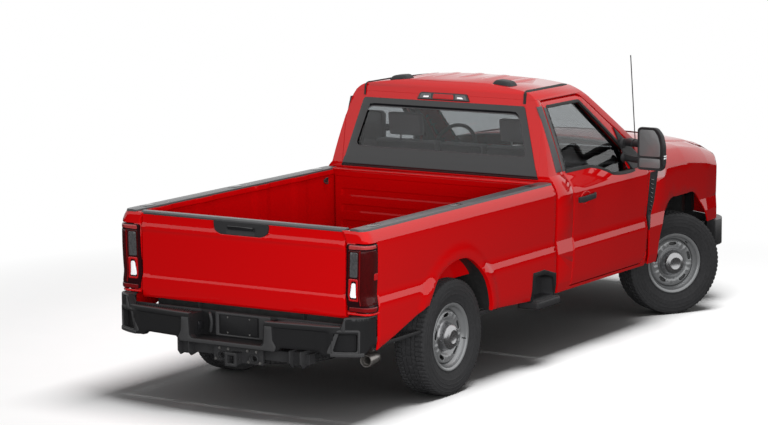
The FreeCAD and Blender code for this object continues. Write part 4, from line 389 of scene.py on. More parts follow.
def finish(name, slot, tone, rough, metal=0.0, coat=0.0, vary=0.06, grain=40.0, relief=None,
           glass=0.0, ior=1.5, sheen=0.0, coat_rough=0.03, spread=0.05, specular=0.5):
    """A material. Relief is a pair of its depth and its grain."""
    material = bpy.data.materials.new(name)
    material.use_nodes = True
    tree = material.node_tree
    shader = tree.nodes["Principled BSDF"]
    place = add_node(tree, "TexCoord")

    def noise(scale, detail=3.0):
        node = add_node(tree, "TexNoise", Scale=scale, Detail=detail)
        link(tree, place, "Object", node, "Vector")
        return node
    ramp = add_node(tree, "ValToRGB")
    for element, at, factor in zip(ramp.color_ramp.elements, (0.3, 0.7), (1 - vary, 1 + vary)):
        element.position = at
        element.color = [*(min(1, value * factor) for value in tone), 1]
    link(tree, noise(grain), "Fac", ramp, "Fac")
    link(tree, ramp, "Color", shader, "Base Color")
    rough_range = add_node(tree, "MapRange", To_Min=max(0.0, rough - spread), To_Max=min(1.0, rough + spread))
    link(tree, noise(grain / 5), "Fac", rough_range, "Value")
    link(tree, rough_range, "Result", shader, "Roughness")
    set_inputs(shader, Metallic=metal, IOR=ior, Specular_IOR_Level=specular, Coat_Weight=coat,
               Coat_Roughness=coat_rough, Transmission_Weight=glass, Sheen_Weight=sheen)
    if relief:
        bump = add_node(tree, "Bump", Strength=0.6, Distance=relief[0])
        link(tree, noise(relief[1], 2.0), "Fac", bump, "Height")
        link(tree, bump, "Normal", shader, "Normal")
    finishes[name] = (material, slot)


def make_finishes():
    finish("red_paint", "paint", (0.44, 0.0012, 0.002), 0.5, coat=1.0, vary=0.03, grain=900, coat_rough=0.02,
           specular=0.0)
    finish("red_inner", "paint", (0.4, 0.0012, 0.002), 0.5, coat=0.3, vary=0.05, grain=600, specular=0.0)
    finish("cap_plastic", "black_plastic", (0.055, 0.055, 0.057), 0.34, specular=0.6, vary=0.1, grain=300,
           relief=(0.0002, 900))
    finish("post_grey", "black_plastic", (0.05, 0.05, 0.052), 0.45, vary=0.1, grain=200)
    finish("bumper_lip", "black_steel", (0.034, 0.034, 0.035), 0.45, vary=0.12, grain=300,
           relief=(0.0003, 700), specular=0.3)
    finish("bumper_dark", "black_steel", (0.0085, 0.0085, 0.009), 0.5, vary=0.2, grain=300,
           relief=(0.0003, 700), specular=0.25)
    finish("black_trim", "black_plastic", (0.018, 0.018, 0.019), 0.5, vary=0.2, grain=300, specular=0.3,
           relief=(0.0004, 900))
    finish("black_gloss", "black_plastic", (0.008, 0.008, 0.009), 0.12, coat=0.5, vary=0.1)
    finish("rubber_seal", "black_plastic", (0.012, 0.012, 0.012), 0.6, vary=0.2)
    finish("grey_trim", "grey_plastic", (0.16, 0.16, 0.165), 0.55, vary=0.12, grain=200, relief=(0.0004, 700))
    finish("dark_trim", "grey_plastic", (0.045, 0.045, 0.047), 0.6, vary=0.15, grain=200,
           relief=(0.0004, 700))
    finish("carpet", "grey_plastic", (0.05, 0.05, 0.052), 0.95, vary=0.35, grain=500, relief=(0.002, 700),
           sheen=0.2)
    finish("black_steel", "black_steel", (0.022, 0.022, 0.023), 0.42, vary=0.15, grain=60,
           relief=(0.0003, 500))
    finish("frame_steel", "black_steel", (0.018, 0.018, 0.018), 0.5, vary=0.3, grain=25, relief=(0.0006, 200))
    finish("bare_steel", "bare_steel", (0.34, 0.33, 0.32), 0.38, metal=0.9, vary=0.25, grain=60,
           relief=(0.0003, 300))
    finish("pipe_steel", "bare_steel", (0.3, 0.285, 0.27), 0.33, metal=0.9, vary=0.3, grain=14)
    finish("wheel_silver", "wheel_steel", (0.26, 0.265, 0.27), 0.3, metal=0.6, coat=0.3, vary=0.03, grain=900)
    finish("bright_cap", "wheel_steel", (0.5, 0.5, 0.51), 0.28, metal=1.0, vary=0.04, grain=30)
    finish("cast_iron", "cast_iron", (0.1, 0.1, 0.1), 0.65, metal=0.4, vary=0.35, grain=60,
           relief=(0.001, 260))
    finish("tyre_rubber", "tyre_rubber", (0.022, 0.022, 0.023), 0.68, specular=0.3, vary=0.2, grain=60,
           relief=(0.0004, 600))
    finish("glass_tint", "glass", (0.5, 0.52, 0.53), 0.0, glass=1.0, vary=0.01, grain=2, ior=1.45, spread=0.0)
    finish("frit_black", "glass", (0.006, 0.006, 0.007), 0.06, vary=0.2, coat=0.6)
    finish("mirror_glass", "glass", (0.125, 0.126, 0.128), 0.25, metal=0.15, coat=0.3, vary=0.05, grain=4)
    finish("seat_cloth", "seat_fabric", (0.3, 0.3, 0.31), 0.9, vary=0.08, grain=420, relief=(0.0005, 900),
           sheen=0.2)
    finish("seat_edge", "seat_fabric", (0.11, 0.11, 0.112), 0.8, vary=0.2, grain=300, relief=(0.0008, 800))
    finish("lamp_red", "lamp_red", (0.13, 0.002, 0.003), 0.15, coat=0.6, vary=0.3, grain=260)
    finish("lamp_bright_red", "lamp_red", (0.36, 0.006, 0.008), 0.2, coat=0.6, vary=0.2, grain=200,
           specular=0.2)
    finish("lamp_dark", "lamp_red", (0.014, 0.002, 0.003), 0.2, coat=0.5, vary=0.4, grain=300, specular=0.2)
    finish("lamp_mesh", "lamp_red", (0.034, 0.0012, 0.0015), 0.3, coat=0.4, vary=0.95, grain=330,
           specular=0.2)
    finish("lamp_rose", "lamp_red", (0.3, 0.035, 0.035), 0.15, coat=0.8, vary=0.15, grain=120)
    finish("lamp_white", "lamp_clear", (0.85, 0.86, 0.88), 0.12, coat=0.6, vary=0.08, grain=150)
    finish("lamp_grey", "lamp_clear", (0.1, 0.1, 0.104), 0.2, coat=0.6, metal=0.5, vary=0.3, grain=90)
    finish("lamp_amber", "lamp_clear", (0.75, 0.22, 0.02), 0.12, coat=0.5, vary=0.1, grain=150)


def show(name, shape, finish_name, body="chassis", replaces="", crisp_deg=35, padded=None):
    """Makes an object of a shape, which rides on a body of the part."""
    points, faces = shape
    material, slot = finishes[finish_name]
    mesh = bpy.data.meshes.new(name)
    mesh.from_pydata([tuple(point) for point in points], [], faces)
    mesh.validate()
    work = bmesh.new()
    work.from_mesh(mesh)
    bmesh.ops.remove_doubles(work, verts=work.verts, dist=1e-6)
    bmesh.ops.recalc_face_normals(work, faces=work.faces)
    work.to_mesh(mesh)
    work.free()
    mesh.polygons.foreach_set("use_smooth", [True] * len(mesh.polygons))
    mesh.set_sharp_from_angle(angle=math.radians(crisp_deg))
    mesh.materials.append(material)
    piece = bpy.data.objects.new(name, mesh)
    bpy.context.scene.collection.objects.link(piece)
    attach(piece, body)
    if replaces:
        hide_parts(replaces)


def show_pair(name, shape, finish_name, body="chassis", replaces="", **more):
    """The shape drawn on the left side, and its mirror image. An asterisk in the name of
    a body or a replaced node stands for the side. A name without it goes to the left."""
    for side, drawn in (("left", shape), ("right", mirrored(shape))):
        node = replaces.replace("*", side) if "*" in replaces or side == "left" else ""
        show(name + "_" + side, drawn, finish_name, body.replace("*", side), node, **more)


# Finishes and edge widths of the CAD pieces. An asterisk stands for either side
node_finishes = {
    "red_paint": "box_side_* cab_back cab_roof cab_side_* door_* fender_* hood tailgate",
    "red_inner": "box_floor box_front",
    "black_trim": "box_steps cowl fender_vents fuel_tank grille mirror_* rail_caps roof_lamps",
    "black_steel": "antenna front_bumper hitch rear_bumper",
    "frame_steel": "frame_rails front_axle front_support rear_axle springs",
    "bare_steel": "drag_link drive_shafts tie_rod",
    "pipe_steel": "exhaust",
    "cast_iron": "engine knuckle_* pitman_arm",
    "wheel_silver": "rim_front_* rim_rear_*",
    "tyre_rubber": "spare_wheel tyre_front_* tyre_rear_*",
    "dark_trim": "dashboard steering_wheel",
    "carpet": "cab_floor",
    "seat_cloth": "seats",
    "glass_tint": "cab_glass door_glass_*",
    "lamp_grey": "headlamps",
    "lamp_red": "tail_lamps",
}
edge_widths = {
    0.002: "pitman_arm",
    0.003: "cowl frame_rails front_support hitch knuckle_*",
    0.004: "box_floor box_front cab_roof cab_side_* fender_* front_axle grille hood",
    0.005: "cab_back rail_caps",
    0.006: "box_steps dashboard rear_bumper",
    0.01: "engine front_bumper fuel_tank",
}


def by_node(table):
    """Turns a table of words into one value for each node that they name."""
    found = {}
    for value, words in table.items():
        for word in words.split():
            for side in ("left", "right"):
                found[word.replace("*", side)] = value
    return found


def dress_nodes():
    """Gives each CAD piece its finish, and the plates and panels slightly rounded edges."""
    finish_of = by_node(node_finishes)
    width_of = by_node(edge_widths)
    for name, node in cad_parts.items():
        node.data.materials.clear()
        node.data.materials.append(finishes[finish_of[name]][0])
        if name in width_of:
            weld = node.modifiers.new("weld", "WELD")
            weld.merge_threshold = 2e-5
            bevel = node.modifiers.new("eased", "BEVEL")
            bevel.width = width_of[name]
            bevel.segments = 2
            bevel.limit_method = "ANGLE"
            bevel.angle_limit = math.radians(35)
            bevel.harden_normals = True


# Wheels: a tyre with a ribbed tread, and a steel rim with a dished disc
track_front = 1.735
track_rear = 1.707
tread_crown = 0.0055
tread_groove = 0.0085
tread_wave = 0.0022
tread_pitches = 72
steps_per_pitch = 4
shoulder_cut = 0.0035
inner_radius = tyre_radius - 0.022
inner_half = 0.088
# Across the tread, from its middle to its shoulder: half-widths of ribs and grooves
tread_edges = [0, 0.016, 0.024, 0.047, 0.055, 0.08, 0.086, 0.104]
# Sidewall, as pairs of radius and half-width, from the tread's edge to the bead
sidewall = [
    (0.398, 0.1075), (0.3925, 0.111), (0.39, 0.1098), (0.38, 0.1135), (0.377, 0.1155), (0.374, 0.114),
    (0.356, 0.117), (0.354, 0.1186), (0.3515, 0.1186), (0.3495, 0.1172), (0.33, 0.1175), (0.3285, 0.119),
    (0.326, 0.119), (0.3245, 0.1172), (0.3, 0.115), (0.298, 0.116), (0.296, 0.1145), (0.28, 0.111),
    (0.26, 0.1055), (0.25, 0.102), (0.246, 0.103), (0.243, 0.101), (0.242, 0.095), (0.2195, 0.095),
    (0.219, 0.082),
]
hand_holes = 5
hand_hole_radius = 0.1545
hand_hole_half_length = 0.034
hand_hole_half_width = 0.0135
disc_radius = 0.19
rib_low = 0.112
rib_reach = 0.07
# The disc's face, the barrel and the cap, as pairs of radius and offset outward
disc_face = [
    (0, 0.046), (0.066, 0.046), (0.074, 0.046), (0.104, 0.047), (0.114, 0.053), (0.128, 0.068),
    (0.138, 0.074), (0.168, 0.074), (0.178, 0.066), (0.186, 0.05), (0.19, 0.036),
]
barrel = [
    (0.219, 0.08), (0.219, 0.094), (0.235, 0.095), (0.237, 0.0985), (0.235, 0.102), (0.227, 0.102),
    (0.219, 0.099), (0.2135, 0.093), (0.211, 0.08), (0.206, 0.07), (0.193, 0.056), (0.1895, 0.038),
    (0.188, 0.01), (0.179, -0.01), (0.179, -0.03), (0.205, -0.056), (0.211, -0.08), (0.212, -0.096),
    (0.235, -0.096), (0.235, -0.102), (0.212, -0.102), (0.206, -0.099), (0.198, -0.056), (0.172, -0.03),
    (0.172, 0),
]
cap_spread = 1.45
cap_profile = [
    (0, 0.118), (0.026, 0.118), (0.03, 0.1215), (0.036, 0.1215), (0.04, 0.1175), (0.05, 0.115),
    (0.057, 0.109), (0.0615, 0.098), (0.0635, 0.08), (0.066, 0.06), (0.071, 0.052), (0.073, 0.049),
    (0.073, 0.045), (0, 0.045),
]


def tread_radius(w, phase, pitch):
    """The tread's radius at a place across it, at one step of a pitch."""
    crown = tyre_radius - tread_crown * (abs(w) / tread_edges[-1]) ** 4
    low = any(tread_edges[k] - 0.0001 < abs(w) < tread_edges[k + 1] + 0.0001 for k in (1, 3))
    if tread_edges[5] - 0.0001 < abs(w) < tread_edges[6] + 0.0001:
        low = phase < 2
    if abs(w) > tread_edges[4] and phase == (0 if w > 0 else 2):
        low = True
    if tread_edges[2] < abs(w) < tread_edges[3] and phase == (1 if w > 0 else 3) and pitch % 2 == 0:
        crown -= tread_groove * 0.5
    if abs(w) < tread_edges[1] and phase == 0 and pitch % 2 == 1:
        crown -= tread_groove * 0.45
    return crown - (tread_groove if low else 0)


def wall_section(cut, way):
    """One sidewall's section. Its two outermost points are cut back between the lugs."""
    cuts = [cut, cut] + [0] * (len(sidewall) - 2)
    return [(radius - c, way * (w - c * 0.8)) for (radius, w), c in zip(sidewall, cuts)]


def tyre_shape():
    """A tyre about the origin, with its axle along Y. Grooves and shoulder cuts are real."""
    half_row = []
    for a, b in zip(tread_edges, tread_edges[1:]):
        half_row += [a + 0.0006, (a + b) / 2, b - 0.0006]
    across = [-w for w in reversed(half_row)] + half_row
    rings = []
    for i, (c, s) in enumerate(circle(tread_pitches * steps_per_pitch)):
        phase = i % steps_per_pitch
        wave = tread_wave if (i // 2) % 2 else -tread_wave
        ring = []
        for w in across:
            shift = wave if abs(w) < tread_edges[4] else 0
            ring.append((tread_radius(w, phase, i // steps_per_pitch), w + shift))
        left = wall_section(shoulder_cut if phase in (1, 2) else 0, -1)
        right = wall_section(shoulder_cut if phase in (0, 3) else 0, 1)
        section = left[::-1] + ring + right + [(inner_radius, inner_half), (inner_radius, -inner_half)]
        rings.append([(r * c, w, r * s) for r, w in section])
    return loft(rings, looped=True)


def hand_hole(middle):
    """An oval in the disc's plane, bent along the circle that the holes stand on."""
    oval = []
    for t in np.linspace(0, full_turn, 28, False):
        along = hand_hole_half_length * np.sign(math.cos(t)) * abs(math.cos(t)) ** 0.8
        out = hand_hole_half_width * np.sign(math.sin(t)) * abs(math.sin(t)) ** 0.8
        turn = middle + along / hand_hole_radius
        reach = hand_hole_radius + out
        oval.append((reach * math.cos(turn), reach * math.sin(turn)))
    return oval


def disc_shape(phase):
    """The wheel's dished disc, with oval hand holes and a raised pair of ribs between them."""
    outline = [(disc_radius * math.cos(t), disc_radius * math.sin(t))
               for t in np.linspace(0, full_turn, 96, False)]
    holes = [hand_hole(full_turn * index / hand_holes + phase) for index in range(hand_holes)]
    radii, offsets = zip(*disc_face)

    def surface(a, b, depth):
        radius = math.hypot(a, b)
        share = ((math.atan2(b, a) - phase) / full_turn * hand_holes) % 1
        lift = 0
        ridge = abs(abs(share - 0.5) - 0.115)
        if rib_low < radius < rib_low + rib_reach and ridge < 0.07:
            lift = 0.005 * (1 - (ridge / 0.07) ** 2) * math.sin(math.pi * (radius - rib_low) / rib_reach)
        near = abs(radius - hand_hole_radius)
        if near < 0.03 and (share < 0.17 or share > 0.83):
            lift -= 0.003 * (1 - near / 0.03)
        return a, float(np.interp(radius, radii, offsets)) + lift - depth, b
    return panel(outline, surface, 0.0055, holes, spacing=0.0085, edge=0.002)


def make_wheels():
    tyre = tyre_shape()
    cap = lathe([(max(r * cap_spread, 1e-5), w) for r, w in cap_profile], 56)
    stem = tube([(0.2, 0.072, 0), (0.196, 0.088, 0), (0.189, 0.106, 0)], 0.0042, 10)
    spin = Matrix.Rotation
    for place, x, track, phase in (
            ("front", front_axle_x, track_front, quarter_turn),
            ("rear", rear_axle_x, track_rear, math.radians(112))):
        rim = merged([lathe(barrel, 96), disc_shape(phase)])
        valve = placed(stem, spin(-(phase + math.pi / hand_holes), 4, "Y"))
        for side, way in (("left", 1), ("right", -1)):
            turn = Matrix.Translation((x, way * track / 2, axle_z))
            if place == "front":
                pin = Matrix.Translation((x, way * kingpin_y, axle_z))
                turn = pin @ spin(steer_rest, 4, "Z") @ pin.inverted() @ turn
            if way < 0:
                turn = turn @ spin(math.pi, 4, "Z") @ spin(math.pi - 2 * phase, 4, "Y")
            ending = place + "_" + side
            body = "wheel_" + ending
            show("tread_tyre_" + ending, placed(tyre, turn), "tyre_rubber", body, "tyre_" + ending, 28)
            show("steel_rim_" + ending, placed(rim, turn), "wheel_silver", body, "rim_" + ending, 28)
            show("hub_cap_" + ending, placed(cap, turn), "bright_cap", body)
            show("valve_" + ending, placed(valve, turn), "rubber_seal", body)
    spare_turn = turned((-2.226, 0, 0.4193), quarter_turn, "X")
    show("spare_tyre", placed(tyre, spare_turn), "tyre_rubber", "chassis", "spare_wheel", 28)
    show("spare_rim", placed(merged([lathe(barrel, 96), disc_shape(0)]), spare_turn), "wheel_silver")


# Body sides. The profile gives how far each height lies inside the widest line
def swell(a, b, outward, steps=8):
    """Points from a to b along a shallow curve that bulges to the outside."""
    run = math.hypot(b[0] - a[0], b[1] - a[1])
    middle = ((a[0] + b[0]) / 2 - outward * (b[1] - a[1]) / run,
              (a[1] + b[1]) / 2 + outward * (a[0] - b[0]) / run)
    bend = [2 * m - (p + q) / 2 for m, p, q in zip(middle, a, b)]
    made = []
    for step in range(1, steps + 1):
        t = step / steps
        made.append([p * (1 - t) ** 2 + 2 * c * t * (1 - t) + q * t ** 2 for p, c, q in zip(a, bend, b)])
    return made


side_low = [(0.016, sill_z), (0.004, tuck_z), (0, low_crease_z), (0.016, waist_z)]
side_low += swell((0.016, waist_z), (0.004, shoulder_z), 0.003)
cab_profile = side_low + swell((0.004, shoulder_z), (0.081, belt_z), 0.012)
cab_profile += swell((0.081, belt_z), (0.216, window_top_z), 0.008)
cab_profile += swell((0.216, window_top_z), (0.326, gutter_z), 0.016)
box_profile = side_low + swell((0.004, shoulder_z), (0.04, rail_low_z), 0.012)
crease_levels = [tuck_z, low_crease_z, waist_z, shoulder_z]


def side_y(profile, z):
    """The Y of a body side at a height."""
    insets, heights = zip(*profile)
    return half_width - float(np.interp(z, heights, insets))


def side_surface(profile, raise_by=0.0):
    """The surface of a body side, raised outward."""
    return lambda x, z, depth: (x, side_y(profile, z) + raise_by - depth, z)


def facing_back(at_x):
    """A flat surface that faces rearward."""
    return lambda y, z, depth: (at_x + depth, y, z)


def arc_through(a, b, c, steps=10):
    """Points from a to c along the circle through a, b and c, without a."""
    (ax, ay), (bx, by), (cx, cy) = a, b, c
    d = 2 * (ax * (by - cy) + bx * (cy - ay) + cx * (ay - by))
    a2, b2, c2 = (x ** 2 + y ** 2 for x, y in (a, b, c))
    ux = (a2 * (by - cy) + b2 * (cy - ay) + c2 * (ay - by)) / d
    uy = (a2 * (cx - bx) + b2 * (ax - cx) + c2 * (bx - ax)) / d
    radius = math.hypot(ax - ux, ay - uy)
    start = math.atan2(ay - uy, ax - ux)
    middle = (math.atan2(by - uy, bx - ux) - start) % (2 * math.pi)
    end = (math.atan2(cy - uy, cx - ux) - start) % (2 * math.pi)
    if middle > end:
        end -= 2 * math.pi
    turns = [start + end * i / steps for i in range(1, steps + 1)]
    return [(ux + radius * math.cos(turn), uy + radius * math.sin(turn)) for turn in turns]


def traced(path, steps=8):
    """Corners are pairs. A list of two pairs is an arc, through the first to the second."""
    made = [path[0]]
    for step in path[1:]:
        if isinstance(step, list):
            made += arc_through(made[-1], step[0], step[1], steps)
        else:
            made.append(step)
    return made


def scaled(shares, x0, x1, z0, z1):
    """Shares of a box's length and height, made into places."""
    made = []
    for step in shares:
        if isinstance(step, list):
            made.append(scaled(step, x0, x1, z0, z1))
        else:
            made.append((x0 + (x1 - x0) * step[0], z0 + (z1 - z0) * step[1]))
    return made


def on_door(shares):
    """An outline given in shares of the door's box, which is X 0 to 1244, Z 522 to 1868 mm."""
    return traced(scaled(shares, 0.0, 1.244, 0.522, 1.868))


door_line = on_door([
    (-0.013, 0), [(0.0225, 0.236), (0.027, 0.463)], (0.006, 0.607), (-0.051, 0.985),
    [(-0.047, 0.9955), (-0.032, 1)], (0.378, 1), [(0.402, 0.997), (0.422, 0.9866)], (0.761, 0.761),
    (0.9936, 0.587), (0.995, 0.5037), (0.964, 0.2437), (0.964, 0.132), [(0.9486, 0.0505), (0.894, 0)]])
window_line = on_door([
    (0.0466, 0.6174), (-0.005, 0.955), [(0.001, 0.962), (0.016, 0.963)], (0.363, 0.962),
    [(0.386, 0.958), (0.4035, 0.946)], (0.8, 0.6553), (0.82, 0.545),
    [(0.691, 0.5423), (0.5547, 0.5542)], [(0.45, 0.593), (0.3376, 0.615)]])
# The rear wheel's arch, in tyre radii from its axle
rear_arch = traced(scaled([
    (1.14, -1), (1.14, 0.3), [(0.85, 1.0), (0.3, 1.335)], [(-0.38, 1.26), (-0.98, 0.72)],
    (-1.28, 0.1), (-1.34, -1)], rear_axle_x, rear_axle_x + tyre_radius, axle_z, axle_z + tyre_radius), 12)
skin = 0.012
flare_rise = 0.01
flare_width = 0.045
flare_fade = 0.06


def flare_at(x, z, stops):
    """How far the sheet stands out beside a wheel arch, given points along its edge."""
    gap = float(np.min(np.hypot(stops[:, 0] - x, stops[:, 1] - z)))
    return flare_rise * (1 - ramp_in(gap, flare_width, flare_fade))


def ramp_in(value, start, width):
    """Rises smoothly from 0 at a start to 1 at a width beyond it."""
    share = min(1.0, max(0.0, (value - start) / width))
    return share * share * (3 - 2 * share)


def make_doors():
    body = "door_*"
    skin_surface = side_surface(cab_profile)
    outer = panel(door_line, skin_surface, 0.045, [window_line], spacing=0.032, edge=0.005,
                  levels=crease_levels)
    show_pair("door_skin", outer, "red_paint", body, "door_*", crisp_deg=28)
    trim_line = inward(evened(door_line, 0.02), 0.022)
    frame_line = inward(evened(window_line, 0.02), -0.004)
    trim_surface = side_surface(cab_profile, -0.046)
    trim = panel(trim_line, trim_surface, 0.05, [frame_line], spacing=0.05, edge=0.012)
    show_pair("door_trim", trim, "dark_trim", body)
    pad_line = [(0.1, 0.98), (0.6, 0.95), (1.05, 1.0), (1.12, 1.1), (1.1, 1.16), (0.09, 1.26)]
    pad = panel(rounded(pad_line, 0.05), lambda x, z, depth: (x, half_width - 0.112 - depth, z), 0.03,
                spacing=0.05, edge=0.012)
    show_pair("door_pad", pad, "grey_trim", body)
    rest = box((0.18, half_width - 0.195, 1.0), (0.72, half_width - 0.135, 1.045), 0.014, 3)
    show_pair("door_arm_rest", rest, "dark_trim", body)
    dense_window = evened(window_line, 0.016)
    seal_surface = side_surface(cab_profile, 0.0025)
    seal = panel(inward(dense_window, -0.016), seal_surface, 0.024, [inward(dense_window, 0.006)], edge=0.002)
    show_pair("window_seal", seal, "rubber_seal", body)
    post = on_door([(0.0466, 0.6174), (-0.005, 0.955), (-0.046, 0.968), (0.006, 0.6174)])
    show_pair("post_cover", panel(post, seal_surface, 0.006, spacing=0.04, edge=0.001), "post_grey", body)
    pull = curve_through([(x, half_width - inset, z) for x, inset, z in (
        (0.3, 0.205, 1.1), (0.36, 0.232, 1.11), (0.52, 0.232, 1.12), (0.58, 0.205, 1.12))], 5)
    show_pair("inner_pull", tube(pull, 0.011, 10), "grey_trim", body)
    make_door_handles(body)


def make_door_handles(body):
    y = side_y(cab_profile, 1.14)
    rings = []
    spans = 16
    for i in range(spans + 1):
        share = i / spans
        near_end = min(share, 1 - share) * spans
        rise = 0.004 + 0.026 * min(1.0, near_end / 3) ** 0.6
        tall = 0.0225 * (0.86 + 0.14 * min(1.0, near_end / 1.5)) - 0.003 * share
        section = rectangle(-0.011, 0.009, -tall, tall, 0.006, 3)
        rings.append([(0.1 + 0.25 * share, y + rise + a, 1.137 + 0.012 * share + b) for a, b in section])
    show_pair("handle_strap", loft(rings), "black_trim", body)
    edge = [(0.215 + 0.075 * c, y + 0.0005, 1.14 + 0.047 * s) for c, s in circle(24, True)]
    show_pair("handle_scoop", tube(edge, 0.004, 8), "red_paint", body)


# Cargo box. Its corner turns from the side onto the rear, where the lamp sits
corner_round = 0.06
lamp_low_z = 0.753
lamp_high_z = 1.204
lamp_front_x = -2.64
gate_half = 0.826
box_half = 0.872
box_floor_z = 0.785
bumper_corner_z = 0.734
step_rear_x = -0.596
# Top edge of the step's pocket in the box side, from the rear to the front
step_pocket_top = [(-0.574, 0.688), (-0.415, 0.69)]
stake_xs = (-2.45, -1.95, -1.25, -0.75)
stake_half = 0.1
stake_low_z = 0.86
ledge_z = 1.245


def corner_point(u, z, depth):
    """A place round the box's rear corner, by its length along the plan from the front."""
    lateral = side_y(box_profile, z)
    bend_x = box_rear_x + corner_round
    if u >= bend_x:
        return u, lateral - depth, z
    turn = (bend_x - u) / corner_round
    if turn <= quarter_turn:
        reach = corner_round - depth
        return bend_x - reach * math.sin(turn), lateral - corner_round + reach * math.cos(turn), z
    return box_rear_x + depth, lateral - corner_round - (bend_x - u - corner_round * quarter_turn), z


def corner_length(y):
    """The length along the plan that a place on the rear face has, at 1 m height."""
    flat = side_y(box_profile, 1.0) - corner_round - y
    return box_rear_x + corner_round - corner_round * math.pi / 2 - flat


def make_box_sides():
    stops = np.array(denser(rear_arch, 0.01)[:-40])
    stops = stops[stops[:, 1] > 0.45]
    rear_end = corner_length(gate_half + 0.008)
    outline = [
        (box_front_x, rail_low_z), (rear_end, rail_low_z),
        (rear_end, lamp_high_z + 0.004), (lamp_front_x + 0.004, lamp_high_z + 0.004),
        (lamp_front_x + 0.004, lamp_low_z - 0.004), (rear_end, lamp_low_z - 0.004),
        (rear_end, bumper_corner_z), (lamp_front_x + 0.002, bumper_corner_z), (lamp_front_x + 0.002, sill_z)]
    outline += [point for point in reversed(rear_arch) if point[1] > sill_z]
    outline += [(step_rear_x, sill_z)] + step_pocket_top + [(box_front_x, 0.64)]

    def surface(u, z, depth):
        x, y, height = corner_point(u, z, depth)
        if u > lamp_front_x:
            y += flare_at(u, z, stops)
        return x, y, height
    bend = [box_rear_x + corner_round * (1 - turn) for turn in np.linspace(0, quarter_turn, 7)]
    sheet = panel(outline, surface, skin, edge=0.005, levels=crease_levels, columns=bend)
    show_pair("box_skin", sheet, "red_paint", replaces="box_side_*", crisp_deg=28)

    def wall_surface(x, z, depth):
        stamp = 0.0
        for place in stake_xs:
            into = stake_half - abs(x - place)
            if into > 0 and z > stake_low_z:
                stamp = 0.01 * min(1, into / 0.02) * min(1, (z - stake_low_z) / 0.03)
        if z > ledge_z:
            stamp += 0.012 * min(1, (z - ledge_z) / 0.012)
        return x, box_half - stamp + 0.002 + depth, z
    wall_line = rectangle(box_rear_x + 0.064, box_front_x - 0.034, box_floor_z, rail_low_z)
    wall = panel(wall_line, wall_surface, 0.01, edge=0.002, levels=[0.86, 0.89, 1.245, 1.257])
    show_pair("box_wall", wall, "red_inner")
    top = box((box_rear_x + 0.03, box_half + 0.006, rail_low_z - 0.02),
              (box_front_x, half_width - 0.055, rail_low_z - 0.002), 0.003)
    show_pair("rail_sheet", top, "red_inner")
    end = box((box_front_x - 0.014, box_half, 0.58),
              (box_front_x - 0.002, half_width - 0.026, rail_low_z - 0.022), 0.002)
    show_pair("box_end", end, "red_paint")
    post = prism(rectangle(gate_half + 0.01, 0.9, 0.742, rail_low_z), "x", box_rear_x + 0.013,
                 box_rear_x + 0.064, 0.004)
    show_pair("gate_post", post, "red_paint")
    make_arch_edges()


def make_arch_edges():
    arch = [point for point in rear_arch if point[1] > 0.46]
    liner = [[(x, y, z + rise) for y, rise in (
        (0.664, 0), (half_width - 0.013, 0), (half_width - 0.013, 0.003), (0.664, 0.003))] for x, z in arch]
    show_pair("arch_liner", loft(liner), "rubber_seal")
    section = ((0.012, 0.001), (0.0015, 0.001), (0.0015, -0.004), (0.03, -0.004), (0.03, 0.001))
    lip = [[(x, side_y(box_profile, z) + flare_rise - inset, z + rise) for inset, rise in section]
           for x, z in arch]
    show_pair("arch_lip", loft(lip), "red_paint")


gate_low_z = 0.704
gate_top_z = 1.285
gate_depth = 0.06
# Tailgate, seen from behind: height and depth in from its rearmost face
gate_profile = [
    (0.704, 0.016), (0.72, 0.006), (0.764, 0), (0.835, 0), (0.842, 0.0005), (0.858, 0.0085), (0.866, 0.0092),
    (1.15, 0.0092), (1.157, 0.0085), (1.172, 0.0015), (1.19, 0), (1.2, 0.0015), (1.216, 0.013),
    (1.222, 0.0135), (1.27, 0.0135), (1.285, 0.015),
]


